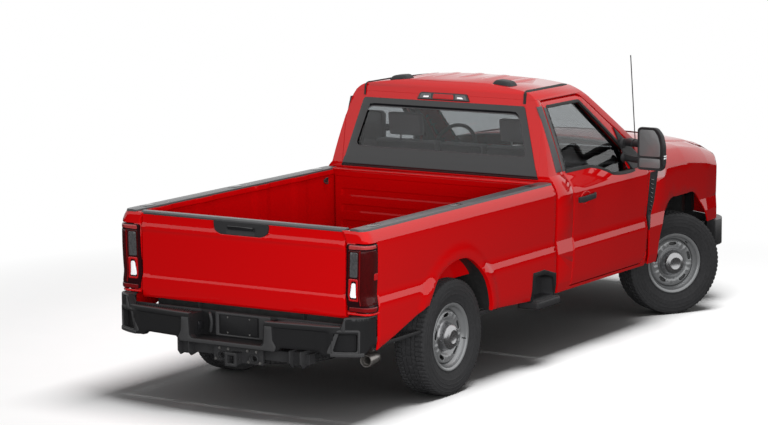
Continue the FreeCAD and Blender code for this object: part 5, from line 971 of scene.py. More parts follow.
def make_tailgate():
    body = "tailgate"
    heights, insets = zip(*gate_profile)

    def surface(y, z, depth):
        return box_rear_x + float(np.interp(z, heights, insets)) + depth, y, z
    hole = rounded([(-0.215, 1.214), (-0.17, 1.19), (0.17, 1.19), (0.215, 1.214), (0.225, 1.276),
                    (-0.225, 1.276)], 0.02, 4)
    outer = panel(rectangle(-gate_half, gate_half, gate_low_z, gate_top_z), surface, 0.02, [hole],
                  spacing=0.032, levels=heights[1:-1])
    show("gate_skin", outer, "red_paint", body, "tailgate", crisp_deg=20)
    inner = box((box_rear_x + 0.036, -gate_half + 0.004, gate_low_z + 0.004),
                (box_rear_x + gate_depth, gate_half - 0.004, gate_top_z - 0.002), 0.006)
    show("gate_inner", inner, "red_inner", body)
    ribs = []
    for index in range(7):
        y = -0.66 + 0.22 * index
        ribs.append(box((box_rear_x + 0.052, y - 0.07, 0.8), (box_rear_x + 0.066, y + 0.07, 1.2), 0.006))
    show("gate_ribs", merged(ribs), "red_inner", body)
    cap = [(box_rear_x + into, z) for into, z in (
        (0.004, 1.277), (0.002, 1.29), (0.01, 1.3), (0.052, 1.301), (0.063, 1.294), (0.063, 1.277))]
    show("gate_cap", prism(cap, "y", -gate_half, gate_half), "cap_plastic", body)
    cover = rounded([(-0.213, 1.212), (-0.168, 1.188), (0.168, 1.188), (0.213, 1.212), (0.224, 1.278),
                     (-0.224, 1.278)], 0.018, 4)

    def cover_surface(y, z, depth):
        bowl = 0.011 * max(0.0, 1 - abs(z - 1.222) / 0.022) ** 0.6 if abs(y) < 0.115 else 0.0
        return box_rear_x + 0.0015 + bowl + depth, y, z
    handle = panel(cover, cover_surface, 0.02, spacing=0.009, edge=0.003)
    show("gate_handle", handle, "black_trim", body)
    pull = prism(rounded(two_sided([(0.1, 1.226), (0.106, 1.252)]), 0.008, 3), "x",
                 box_rear_x - 0.0035, box_rear_x + 0.004, 0.002)
    show("gate_pull", pull, "black_gloss", body)
    latch = box((box_rear_x + 0.058, -0.03, 1.2), (box_rear_x + 0.07, 0.03, 1.26), 0.003)
    show("gate_latch", latch, "black_trim", body)


# Tail lamps, wrapped round the box's rear corners
lamp_inner_y = 0.836
lamp_bulge = 0.007
lamp_middle_z = (lamp_low_z + lamp_high_z) / 2
lamp_half_height = (lamp_high_z - lamp_low_z) / 2


def lamp_patch(name, corners, finish_name, raise_by, thickness=0.006, radius=0.012, replaces="", hole=None):
    """A piece of the lamp, by its corners' length along the plan from the inner edge."""
    def surface(along, z, depth):
        middle = 1 - ((z - lamp_middle_z) / lamp_half_height) ** 2
        swelling = lamp_bulge * max(0.0, middle) ** 0.4 * min(1.0, along / 0.1)
        return corner_point(corner_length(lamp_inner_y) + along, z, depth - raise_by - swelling)
    holes = [rounded(hole, radius * 0.7)] if hole else []
    shape = panel(rounded(corners, radius), surface, thickness, holes, spacing=0.014, edge=0.0015)
    show_pair(name, shape, finish_name, replaces=replaces)


def make_tail_lamps():
    lamp_patch("lamp_body", rectangle(0.002, 0.252, lamp_low_z + 0.002, lamp_high_z - 0.002), "lamp_dark",
               0.0, 0.048, 0.016, replaces="tail_lamps")
    lamp_patch("lamp_mesh", [(0.112, 0.8), (0.236, 0.806), (0.246, 0.9), (0.238, 1.06), (0.246, 1.14),
                             (0.226, 1.166), (0.112, 1.16)], "lamp_mesh", 0.002)
    lamp_patch("lamp_top", [(0.02, 1.168), (0.11, 1.172), (0.236, 1.176), (0.228, 1.197), (0.024, 1.197)],
               "lamp_rose", 0.003, radius=0.008)
    lamp_patch("lamp_foot", [(0.016, 0.76), (0.225, 0.76), (0.236, 0.79), (0.016, 0.786)], "lamp_red",
               0.003, radius=0.006)
    lamp_patch("lamp_frame", rectangle(0.018, 0.104, 0.824, 1.162), "lamp_mesh", 0.004, 0.008,
               hole=rectangle(0.027, 0.094, 0.836, 1.152))
    lamp_patch("lamp_grey", rectangle(0.03, 0.092, 0.985, 1.15), "lamp_grey", 0.003)
    # The white patch low on the lens is a painted highlight.
    lamp_patch("lamp_clear", [(0.038, 0.85), (0.086, 0.85), (0.078, 0.948), (0.05, 0.948)], "lamp_white",
               0.005)
    lamp_patch("lamp_glow", rectangle(0.024, 0.1, 0.828, 0.975), "lamp_bright_red", 0.0045,
               hole=[(0.032, 0.84), (0.09, 0.84), (0.083, 0.96), (0.046, 0.96)])
    lamp_patch("lamp_line", rectangle(0.106, 0.113, 0.8, 1.164), "lamp_red", 0.005, radius=0.002)
    lamp_patch("lamp_mark", rectangle(0.205, 0.246, 0.965, 1.01), "lamp_bright_red", 0.0035, radius=0.008)


# Rear bumper. Its face follows the plan line from the middle to the side
rear_end_x = -2.944
bumper_wrap_x = -2.65
bumper_line = traced([
    (rear_end_x, 0.0), (rear_end_x, 0.366), (-2.903, 0.67), [(-2.88, 0.82), (-2.826, 0.94)],
    [(-2.79, 0.985), (-2.745, 1.004)], (bumper_wrap_x, 1.01)], 8)
bumper_runs = [0.0]
for start, end in zip(bumper_line, bumper_line[1:]):
    bumper_runs.append(bumper_runs[-1] + math.dist(start, end))
bumper_length = bumper_runs[-1]
bumper_xs, bumper_ys = zip(*bumper_line)


def bumper_place(along, depth):
    """A place along the bumper's plan line, moved in by a depth."""
    def at(run):
        run = min(max(run, 0.0), bumper_length)
        return float(np.interp(run, bumper_runs, bumper_xs)), float(np.interp(run, bumper_runs, bumper_ys))
    a = at(along - 0.02)
    b = at(along + 0.02)
    size = math.dist(a, b)
    x, y = at(along)
    return x + (b[1] - a[1]) / size * depth, y - (b[0] - a[0]) / size * depth


def along_at(y):
    """The length along the plan line at which it reaches a Y."""
    return float(np.interp(y, bumper_ys, bumper_runs))


def bumper_edge(y_from, y_to, depth, steps=14):
    """Places along the bumper between two Ys, moved in by a depth."""
    start = along_at(y_from)
    run = along_at(y_to) - start
    return [bumper_place(start + run * i / steps, depth) for i in range(steps + 1)]


def make_bumper_face():
    pocket_in = along_at(0.8)
    pocket_out = along_at(0.962)
    frame_in = along_at(0.372)
    frame_out = along_at(0.775)

    def surface(along, z, depth):
        sunk = 0.009 * ramp_in(along, frame_in, 0.008) * ramp_in(0.636 - z, 0.0, 0.006)
        sunk *= ramp_in(frame_out - along, 0.0, 0.012)
        lean = 0.125 * max(0.0, z - 0.49)
        pocket = ramp_in(along, pocket_in + lean, 0.012) * ramp_in(pocket_out - along, 0.0, 0.012)
        pocket *= ramp_in(z, 0.494, 0.008) * ramp_in(0.624 - z, 0.0, 0.012)
        lip = 0.006 * ramp_in(along, pocket_in - 0.02 + lean, 0.004)
        lip *= ramp_in(pocket_out + 0.018 - along, 0, 0.004) * ramp_in(0.642 - z, 0.0, 0.006) * (1 - pocket)
        return *bumper_place(along, depth + sunk + 0.038 * pocket - lip * 0.6 + 0.006), z
    outline = [
        (-0.004, 0.47), (0.4, 0.472), (0.43, 0.498), (0.7, 0.498), (0.735, 0.472), (along_at(0.985), 0.47),
        (bumper_length - 0.055, 0.531), (bumper_length, 0.531), (bumper_length, 0.728),
        (along_at(0.885), 0.728), (along_at(0.855), 0.665), (0.306, 0.665), (0.3, 0.64), (0.292, 0.522),
        (0.27, 0.503), (-0.004, 0.503)]
    columns = [frame_in, frame_in + 0.008, pocket_in, pocket_in + 0.012, pocket_out - 0.012, pocket_out]
    levels = [0.486, 0.494, 0.502, 0.612, 0.624, 0.63, 0.636, 0.642]
    face = panel(outline, surface, 0.045, spacing=0.02, edge=0.006, levels=levels, columns=columns)
    show_pair("bumper_face", face, "bumper_dark", replaces="rear_bumper", crisp_deg=40)


def make_rear_bumper():
    make_bumper_face()
    back_x = box_rear_x - 0.014
    pad = bumper_edge(0.325, 0.852, 0.034) + [(back_x, 0.852), (back_x, 0.325)]
    show_pair("bumper_pad", prism(pad, "z", 0.632, 0.655, 0.002), "bumper_dark")
    lip = bumper_edge(0.306, 0.862, 0.008) + bumper_edge(0.306, 0.862, 0.044)[::-1]
    show_pair("bumper_lip", prism(lip, "z", 0.636, 0.669, 0.006, 3), "bumper_lip")
    sill = box((box_rear_x - 0.03, 0.31, 0.64), (box_rear_x - 0.012, 0.862, 0.672), 0.003)
    show_pair("bumper_sill", sill, "black_trim")
    ribs = []
    for index in range(26):
        y = 0.345 + 0.019 * index
        near = Vector(bumper_place(along_at(y), 0.046))
        far = Vector((box_rear_x - 0.034, min(y + 0.045, 0.848)))
        way = (far - near).normalized()
        side = Vector((-way.y, way.x)) * 0.003
        ribs.append(prism([near - side, far - side, far + side, near + side], "z", 0.654, 0.661, 0.0012, 1))
    show_pair("bumper_ribs", merged(ribs), "bumper_lip")
    top = bumper_edge(0.878, 1.01, 0.006) + [(bumper_wrap_x, 0.94), (back_x, 0.88)]
    show_pair("bumper_corner", prism(top, "z", 0.704, 0.7285, 0.006, 3), "bumper_lip")
    slope = [(0.858, 0.64), (0.862, 0.664), (0.886, 0.722), (0.886, 0.64)]
    show_pair("bumper_rise", prism(slope, "x", -2.862, back_x), "bumper_lip")
    foot = bumper_edge(0.79, 0.992, 0.0, 10) + bumper_edge(0.992, 0.79, 0.075, 10)
    show_pair("bumper_foot", prism(foot, "z", 0.4705, 0.497, 0.006, 3), "bumper_lip")
    treads = []
    for index in range(9):
        run = along_at(0.812) + 0.0165 * index
        ends = [bumper_place(run, 0.006), bumper_place(run + 0.012, 0.05)]
        treads.append(tube([(x, y, 0.498) for x, y in ends], 0.003, 6))
    show_pair("foot_ribs", merged(treads), "black_trim")
    make_bumper_bands()
    make_plate_recess()


def make_bumper_bands():
    """Paler bands of the face: beside and under the recess, and round each corner's step."""
    def surface(along, z, depth):
        return *bumper_place(along, depth + 0.003), z
    band = rounded([
        (-0.003, 0.474), (0.385, 0.474), (0.398, 0.5), (0.372, 0.545), (0.366, 0.64), (0.31, 0.64),
        (0.303, 0.52), (0.285, 0.5), (-0.003, 0.5)], 0.006)
    show_pair("recess_band", panel(band, surface, 0.01, edge=0.003), "bumper_lip")
    ring, hole = (
        rounded([(along_at(y), z) for y, z in corners], radius) for corners, radius in (
            (((0.762, 0.49), (0.972, 0.49), (0.975, 0.65), (0.836, 0.65)), 0.022),
            (((0.806, 0.505), (0.958, 0.505), (0.961, 0.632), (0.85, 0.632)), 0.016)))
    show_pair("corner_ring", panel(ring, surface, 0.01, [hole], spacing=0.02, edge=0.003), "bumper_lip")


def make_plate_recess():
    back_x = -2.782
    side = box((rear_end_x + 0.03, 0.298, 0.486), (back_x + 0.006, 0.312, 0.66))
    walls = [
        box((back_x, -0.325, 0.475), (back_x + 0.012, 0.325, 0.672), 0.003),
        box((rear_end_x + 0.012, -0.3, 0.486), (back_x + 0.006, 0.3, 0.502)), side, mirrored(side)]
    show("recess_walls", merged(walls), "bumper_dark")
    plate_frame = panel(rectangle(-0.255, 0.19, 0.506, 0.666, 0.012), facing_back(back_x - 0.01), 0.014,
                        [rectangle(-0.165, 0.165, 0.518, 0.65, 0.006)], spacing=0.02)
    show("plate_frame", plate_frame, "bumper_lip")
    plate = prism(rectangle(-0.152, 0.152, 0.52, 0.648, 0.01), "x", back_x - 0.007, back_x - 0.003, 0.001)
    show("plate_blank", plate, "bumper_dark")
    bolt = lathe([(0, -0.002), (0.006, -0.002), (0.006, 0.002), (0, 0.002)], 10)
    bolts = [placed(bolt, turned((back_x - 0.009, y, z), quarter_turn, "Z"))
             for y in (-0.09, 0.09) for z in (0.532, 0.636)]
    show("plate_bolts", merged(bolts), "bare_steel")
    loop = curve_through([(back_x - out, y, z) for out, y, z in (
        (0.006, 0.235, 0.525), (0.02, 0.222, 0.535), (0.022, 0.212, 0.59), (0.02, 0.222, 0.64),
        (0.006, 0.235, 0.65))], 4)
    show("wall_loop", tube(loop, 0.011, 10), "black_steel")
    socket = merged([
        box((-2.85, 0.286, 0.54), (-2.805, 0.3, 0.6)),
        box((-2.842, 0.282, 0.55), (-2.813, 0.288, 0.59), 0.002)])
    show("trailer_socket", socket, "black_gloss")


def make_hitch_parts():
    outline = [(-2.8, 0.372), (-2.8, 0.458), (-2.64, 0.458), (-2.628, 0.43), (-2.7, 0.352), (-2.77, 0.34)]
    plates = [prism(outline, "y", y, y + 0.012, 0.002) for y in (0.405, 0.492)]
    sleeve = panel(rectangle(-2.752, -2.652, 0.348, 0.448, 0.01), lambda x, z, depth: (x, 0.417 + depth, z),
                   0.075, [rectangle(-2.742, -2.662, 0.358, 0.438, 0.006)], edge=0.002)
    show_pair("hitch_end", merged(plates + [sleeve]), "black_steel")
    head = lathe([(0, 0), (0.01, 0), (0.01, -0.007), (0, -0.007)], 6)
    bolts = [placed(head, turned((-2.8005, y, z), -quarter_turn, "Z"))
             for y, z in ((0.15, 0.425), (0.078, 0.425), (0.18, 0.35), (0.085, 0.35))]
    show_pair("hitch_bolts", merged(bolts), "bare_steel")
    ring = [(-2.806, 0.13 + 0.034 * c, 0.375 + 0.026 * s) for c, s in circle(24, True)]
    show_pair("chain_loop", tube(ring, 0.006, 8), "black_steel")
    tip = lathe([(0.034, 0.12), (0.034, 0.004), (0.036, 0), (0.041, 0), (0.043, 0.004), (0.043, 0.135),
                 (0.036, 0.15)], 32)
    tip_turn = turned((-2.6, -0.884, 0.402), math.radians(6), "Z") @ Matrix.Rotation(-quarter_turn, 4, "Z")
    show("exhaust_tip", placed(tip, tip_turn), "pipe_steel")
    collar = panel(rectangle(-0.047, 0.047, 0.328, 0.422, 0.01), facing_back(-2.893), 0.016,
                   [rectangle(-0.0262, 0.0262, 0.3488, 0.4012, 0.003)], spacing=0.02, edge=0.002)
    show("receiver_collar", collar, "black_steel")


def make_rail_caps():
    length = box_front_x - box_rear_x
    section = rounded([
        (0.868, 1.283), (0.868, 1.3015), (0.925, 1.304), (0.972, 1.3015), (0.9775, 1.283), (0.97, 1.279),
        (0.968, 1.288), (0.88, 1.289), (0.878, 1.283)], 0.004, 3)
    stops = [0.002, 0.004, 0.009, 0.018, 0.03, 0.045, 0.062] + [0.18 + 0.117 * i for i in range(20)]
    rings = []
    for stop in stops + [length - 0.004, length - 0.002]:
        inset = corner_round - math.sqrt(max(0.0, corner_round ** 2 - max(0.0, corner_round - stop) ** 2))
        rings.append([(box_rear_x + stop, y - inset * max(0.0, y - 0.868) / 0.108, z) for y, z in section])
    show_pair("rail_cap", loft(rings), "cap_plastic", replaces="rail_caps")
    front = rounded([(-0.309, 1.286), (-0.309, 1.3015), (-0.275, 1.3035), (-0.24, 1.3015), (-0.24, 1.286)],
                    0.004, 3)
    show("rail_front", prism(front, "y", -0.87, 0.87, 0.0015), "red_paint")
    lids = [prism(rectangle(x - 0.055, x + 0.055, 0.893, 0.95, 0.008), "z", 1.3025, 1.3052, 0.001)
            for x in (-2.55, -1.5, -0.45)]
    show_pair("pocket_lids", merged(lids), "black_gloss")


stamp_lows = (0.85, 0.97, 1.09)
stamp_height = 0.062
stamp_edge = 0.012


def make_bed():
    def surface(y, z, depth):
        stamp = max(ramp_in(z, low, stamp_edge) * ramp_in(low + stamp_height - z, 0.0, stamp_edge)
                    for low in stamp_lows)
        stamp *= ramp_in(0.82 - abs(y), 0.0, 0.02)
        ledge = ramp_in(z, 1.236, 0.008)
        return box_front_x - 0.036 - 0.008 * ledge + 0.01 * stamp + depth, y, z
    levels = [low + rise for low in stamp_lows for rise in (0.0, 0.012, 0.05, 0.062)]
    head = panel(rectangle(-box_half + 0.002, box_half - 0.002, 0.745, 1.288), surface, 0.03, edge=0.003,
                 levels=levels + [1.236, 1.244], columns=[-0.82, -0.8, 0.8, 0.82])
    show("box_head", head, "red_inner", replaces="box_front", crisp_deg=25)
    hooks = []
    for x in (-2.6, -0.4):
        for z in (0.835, 1.215):
            ring = [(x + 0.022 * c, box_half - 0.004 - 0.014 * s ** 2, z + 0.022 * s)
                    for c, s in circle(16, True)]
            hooks.append(tube(ring, 0.0045, 8))
            hooks.append(box((x - 0.028, box_half - 0.007, z - 0.012), (x + 0.028, box_half, z + 0.012),
                             0.003))
    show_pair("tie_downs", merged(hooks), "black_steel")
    slots = [box((box_rear_x + 0.0635, 0.845, z - 0.016), (box_rear_x + 0.0665, 0.858, z + 0.016), 0.001)
             for z in (0.93, 1.06, 1.19)]
    show_pair("latch_slots", merged(slots), "black_trim")
    bolt = lathe([(0, 0), (0.014, 0), (0.012, 0.005), (0, 0.006)], 12)
    bolts = [placed(bolt, turned((x, y, 0.7845), quarter_turn, "X"))
             for x in (-2.45, -1.0, -0.5) for y in (0.3, 0.6)]
    seam = box((-1.6, 0.64, 0.7815), (-0.28, 0.652, 0.7865), 0.001)
    show_pair("floor_bolts", merged([seam] + bolts), "bare_steel")


def make_box_steps():
    """A foot step in a dark pocket of each box side, with a frame on the side's surface."""
    tread = prism(rectangle(-0.584, -0.251, 0.88, 1.062, 0.03), "z", 0.431, 0.489, 0.014, 4)
    show_pair("box_step", tread, "black_trim", replaces="box_steps")
    ribs = [box((-0.562 + 0.024 * i, 0.93, 0.4875), (-0.55 + 0.024 * i, 1.056, 0.495), 0.0015)
            for i in range(12)]
    show_pair("step_ribs", merged(ribs), "bumper_lip")
    mouth = rounded([(-0.562, 0.492), (-0.546, 0.66), (-0.418, 0.663), (-0.284, 0.622), (-0.27, 0.492)],
                    0.022)
    rim = [(-0.604, 0.484), (-0.58, 0.696), (-0.415, 0.699), (-0.2395, 0.648), (-0.2395, 0.484)]
    step_frame = panel(rim, side_surface(box_profile, 0.003), 0.014, [mouth], spacing=0.02)
    show_pair("step_frame", step_frame, "bumper_dark")
    middle_x = sum(x for x, _ in mouth) / len(mouth)
    middle_z = sum(z for _, z in mouth) / len(mouth)
    rings = []
    for share, y in ((0.9, 0.918), (1.0, 1.002), (1.03, 1.002), (0.95, 0.91)):
        rings.append([(middle_x + (x - middle_x) * share, y, middle_z + (z - middle_z) * share)
                      for x, z in mouth])
    show_pair("step_pocket", loft(rings), "black_trim")


# Glass, roof and mirrors
above_all = 3.0


def trees_of(*names):
    """Search trees of CAD pieces, for places on their outside."""
    made = []
    for name in names:
        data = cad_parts[name].data
        made.append(BVHTree.FromPolygons(
            [vert.co for vert in data.vertices], [tuple(face.vertices) for face in data.polygons]))
    return made


def first_hit(trees, start, way):
    best = None
    for tree in trees:
        place, _, _, reach = tree.ray_cast(Vector(start), Vector(way))
        if place is not None and (best is None or reach < best[0]):
            best = (reach, place)
    return best[1] if best else None


def top_hit(trees, x, y):
    return first_hit(trees, (x, y, above_all), (0, 0, -1))


def cab_rear(raise_by):
    """The plane of the cab's leaning rear face, raised outward."""
    return lambda y, z, depth: (-0.209 + 0.096 * max(0.0, z - belt_z) / 0.576 - raise_by + depth, y, z)


def make_rear_glass():
    frit = rounded(two_sided([(0.85, 1.312), (0.834, 1.345), (0.693, 1.832)]), 0.022)
    clear = rounded(two_sided([(0.742, 1.466), (0.65, 1.772)]), 0.055, 8)
    # The foot is a black band laid over the glass's lower edge: painted shade between the cab and the box.
    foot = rounded(two_sided([(0.85, 1.312), (0.838, 1.345), (0.826, 1.385)]), 0.01)
    show("rear_frit", panel(frit, cab_rear(0.004), 0.003, [clear], spacing=0.04, edge=0.0012), "frit_black")
    show("glass_foot_painted_shade", panel(foot, cab_rear(0.006), 0.004, spacing=0.05, edge=0.001), "black_gloss")
    line = panel(inward(clear, -0.002), cab_rear(0.0046), 0.001, [inward(clear, 0.006)], spacing=0.04,
                 edge=0.0002)
    show("glass_line", line, "dark_trim")


def make_roof():
    trees = trees_of("cab_roof", "cab_side_left", "cab_side_right", "cab_back")
    beads = []
    for index in range(5):
        y = -0.42 + 0.21 * index
        rings = []
        for step in range(17):
            share = step / 16
            x = 0.1 + 0.4 * share
            full = math.sin(math.pi * min(1, share * 1.02)) ** 0.35
            ring = []
            for across in np.linspace(-1, 1, 9):
                place = top_hit(trees, x, y + 0.052 * across * (0.4 + 0.6 * full))
                rise = 0.009 * full * math.cos(across * quarter_turn) - 0.001
                ring.append((place.x, place.y, place.z + rise))
            ring.append((x, y, ring[4][2] - 0.014))
            rings.append(ring)
        beads.append(loft(rings))
    show("roof_beads", merged(beads), "red_paint", crisp_deg=50)
    strip_y = 0.69
    pivot = Vector((0.1, strip_y, 1.8))
    path = []
    for index in range(17):
        turn = math.radians(168 - 96 * index / 16)
        out = Vector((math.cos(turn), 0, math.sin(turn)))
        path.append(first_hit(trees, pivot + out * 1.5, -out))
    path += [top_hit(trees, x, strip_y) for x in (0.22, 0.34, 0.45, 0.55, 0.6)]
    path = curve_through([place for place in path if place is not None], 4)
    show_pair("roof_strip", tube(path, 0.014, 12, 0.5), "rubber_seal")
    make_roof_lamps(trees)
    make_linings()


def lining(name, node_name, starts, way, thickness=0.004):
    """A dark sheet just inside a CAD piece, over a grid of rays sent out from within."""
    trees = trees_of(node_name)
    way = Vector(way)
    hits = [[first_hit(trees, start, way) for start in row] for row in starts]
    used = {}
    points = []
    quads = []
    for i in range(len(hits) - 1):
        for j in range(len(hits[0]) - 1):
            corners = [(i, j), (i + 1, j), (i + 1, j + 1), (i, j + 1)]
            places = [hits[a][b] for a, b in corners]
            if any(place is None for place in places):
                continue
            depths = [place.dot(way) for place in places]
            if max(depths) - min(depths) > 0.04:
                continue
            for corner, place in zip(corners, places):
                if corner not in used:
                    used[corner] = len(points)
                    points.append(place - way * 0.004)
            quads.append([used[corner] for corner in corners])
    inner = [point - way * thickness for point in points]
    show(name, sheet_of(points, inner, quads), "dark_trim", crisp_deg=50)


def make_linings():
    rows = [[(-0.06 + 0.04 * i, -0.64 + 0.04 * j, 1.7) for j in range(33)] for i in range(17)]
    lining("roof_lining", "cab_roof", rows, (0, 0, 1))
    for side, tag in ((1, "left"), (-1, "right")):
        rows = [[(-0.06 + 0.02 * i, side * 0.1, 1.2 + 0.02 * j) for j in range(34)] for i in range(72)]
        lining("pillar_lining_" + tag, "cab_side_" + tag, rows, (0, side, 0))


def make_roof_lamps(trees):
    for side, tag in ((1, "left"), (-1, "right")):
        rings = []
        for step in range(15):
            share = step / 14
            x = -0.055 + 0.14 * share
            full = max(0.05, 1 - abs(2 * share - 0.95) ** 6)
            ring = []
            for across in np.linspace(-1, 1, 13):
                y = side * 0.446 + 0.08 * across * (0.72 + 0.28 * full)
                rise = 0.034 * full * max(0.0, 1 - abs(across) ** 5)
                ring.append((x, y, top_hit(trees, x, y).z - 0.001 + rise))
            ring.append((x, side * 0.446, ring[6][2] - 0.034 * full - 0.008))
            rings.append(ring)
        show("roof_pod_" + tag, loft(rings), "black_trim", replaces="roof_lamps" if side == 1 else "")
    case = rounded(two_sided([(0.228, 1.838), (0.2, 1.894)]), 0.014)
    show("stop_lamp", panel(case, cab_rear(0.01), 0.03, spacing=0.02), "black_gloss")
    lens = rounded(two_sided([(0.09, 1.849), (0.085, 1.886)]), 0.01)
    show("stop_lens", panel(lens, cab_rear(0.014), 0.01, spacing=0.02, edge=0.003), "lamp_bright_red")
    bulb = [(0.122, 1.858), (0.172, 1.856), (0.166, 1.868), (0.122, 1.87)]
    lens = [(0.104, 1.847), (0.206, 1.846), (0.188, 1.885), (0.104, 1.887)]
    for side, tag in ((1, "left"), (-1, "right")):
        for name, corners, radius, raise_by, edge, tone in (
                ("cargo_bulb_", bulb, 0.004, 0.015, 0.001, "lamp_white"),
                ("cargo_lens_", lens, 0.008, 0.013, 0.002, "lamp_grey")):
            shape = rounded([(side * y, z) for y, z in corners], radius)
            show(name + tag, panel(shape, cab_rear(raise_by), 0.01, spacing=0.02, edge=edge), tone)


mirror_centre = (1.238, 1.447)


def make_mirrors():
    body = "door_*"
    outline = rounded([(1.131, 1.288), (1.33, 1.286), (1.344, 1.318), (1.344, 1.47), (1.322, 1.56),
                       (1.28, 1.608), (1.15, 1.608), (1.131, 1.59)], 0.026)
    rings = []
    for x, size in ((0.808, 0.965), (0.805, 0.985), (0.807, 1.0), (0.83, 1.0), (0.86, 0.975), (0.882, 0.9),
                    (0.893, 0.78), (0.896, 0.6)):
        rings.append([(x, *(middle + (value - middle) * size for value, middle in zip(point, mirror_centre)))
                      for point in outline])
    show_pair("mirror_shell", loft(rings), "black_trim", body, "mirror_*", crisp_deg=50)
    upper = rounded([(1.148, 1.392), (1.32, 1.392), (1.32, 1.48), (1.3, 1.548), (1.27, 1.59), (1.16, 1.59),
                     (1.148, 1.578)], 0.014, 4)
    lower = rounded([(1.148, 1.306), (1.314, 1.306), (1.32, 1.316), (1.32, 1.376), (1.148, 1.376)], 0.012, 4)
    panes = [prism(pane, "x", 0.8035, 0.8075, 0.0008) for pane in (upper, lower)]
    show_pair("mirror_pane", merged(panes), "mirror_glass", body)
    lamps = [box((0.822, 1.34, low), (0.866, 1.3465, high), 0.002)
             for low, high in ((1.372, 1.384), (1.39, 1.4))]
    show_pair("mirror_lamp", merged(lamps), "lamp_white", body)
    upper_arm = curve_through([(0.975, 0.925, 1.462), (0.955, 0.985, 1.47), (0.9, 1.06, 1.472),
                               (0.862, 1.15, 1.47)], 5)
    lower_arm = curve_through([(0.935, 0.935, 1.352), (0.925, 0.985, 1.352), (0.885, 1.06, 1.35),
                               (0.862, 1.15, 1.35)], 5)
    arms = [tube(upper_arm, 0.03, 16, 0.75), tube(lower_arm, 0.026, 16, 0.8),
            tube([upper_arm[5], upper_arm[10]], 0.036, 16, 0.75)]
    show_pair("mirror_arms", merged(arms), "black_trim", body)
    sail = on_door([(0.715, 0.79), (0.8, 0.728), (0.985, 0.592), (0.985, 0.552), (0.8, 0.548)])
    sail = panel(sail, side_surface(cab_profile, 0.01), 0.0095, edge=0.003)
    show_pair("mirror_sail", sail, "black_trim", body)
    boots = [placed(lathe(profile, 20), Matrix.Translation(place)) for profile, place in (
        ([(0, 0), (0.042, 0), (0.036, 0.022), (0, 0.026)], (0.97, 0.918, 1.455)),
        ([(0, 0), (0.036, 0), (0.03, 0.018), (0, 0.02)], (0.936, 0.944, 1.352)))]
    show_pair("arm_boots", merged(boots), "black_trim", body)


# Seats, each with a cushion, a back and, at the sides, a head rest
def dome(share, margin, power):
    """Rises from near 0 at both ends of a share to 1 at its middle."""
    return math.sin(math.pi * (margin + share * (1 - 2 * margin))) ** power


def pillow(low, high, lean=0.0, swelling=0.022, groove=0.006, across=18, tall=14):
    """A padded block. Its front and top swell, with two seams pressed in along it."""
    x0, y0, z0 = low
    x1, y1, z1 = high
    rings = []
    for i in range(tall + 1):
        v = i / tall
        full = dome(v, 0.04, 0.45)
        front = []
        back = []
        for j in range(across + 1):
            u = j / across
            wide = full * dome(u, 0.05, 0.4)
            seam = groove * (math.exp(-((u - 0.22) / 0.018) ** 2) + math.exp(-((u - 0.78) / 0.018) ** 2)
                             + math.exp(-((v - 0.8) / 0.02) ** 2) * (0.22 < u < 0.78))
            y = y0 + (y1 - y0) * u
            z = z0 + (z1 - z0) * v
            front.append((x1 - lean * v - swelling + swelling * wide - seam, y, z))
            back.append((x0 - lean * v + swelling * 0.6 * (1 - wide), y, z))
        rings.append(front + back[::-1])
    return eased(loft(rings), 0.012, 2, 50)


def make_seats():
    for tag, centre, half, base_z in (
            ("left", 0.485, 0.27, 0.745), ("middle", 0.0, 0.19, 0.871), ("right", -0.485, 0.27, 0.745)):
        y0 = centre - half + 0.002
        y1 = centre + half - 0.002
        # The cushion is drawn upright, then laid down, so that its front becomes its top
        points, faces = pillow((-0.15, y0, 0.0), (0.0, y1, 0.475))
        cushion = [(0.188 + z, y, 1.056 + x) for x, y, z in points], faces
        show("cushion_" + tag, cushion, "seat_cloth", replaces="seats" if tag == "left" else "", padded=0.8,
             crisp_deg=60)
        back = pillow((0.19, y0, 1.032), (0.318, y1, 1.488), 0.08)
        show("seat_back_" + tag, back, "seat_cloth", padded=0.8, crisp_deg=60)
        base_line = [(0.196, base_z), (0.196, 0.915), (0.64, 0.915), (0.6, base_z)]
        base = prism(base_line, "y", y0 + 0.03, y1 - 0.03, 0.012)
        show("seat_base_" + tag, base, "dark_trim")
        shell_line = [(0.186, 0.93), (0.106, 1.47), (0.12, 1.48), (0.2, 0.93)]
        shell = prism(shell_line, "y", y0 + 0.012, y1 - 0.012, 0.006)
        show("seat_shell_" + tag, shell, "seat_edge")
        if tag != "middle":
            rest = pillow((0.106, centre - 0.138, 1.527), (0.192, centre + 0.138, 1.698), 0.026, 0.016, 0.003,
                          14, 10)
            show("head_rest_" + tag, rest, "seat_cloth", padded=0.85, crisp_deg=60)
            posts = [tube([(0.15, centre + side, 1.43), (0.15, centre + side, 1.56)], 0.007, 10)
                     for side in (-0.06, 0.06)]
            show("rest_posts_" + tag, merged(posts), "bright_cap")


def oval(centre, across, upward, steps):
    """A ring about a centre, reaching as far as two vectors."""
    return [centre + across * c + upward * s for c, s in circle(steps)]


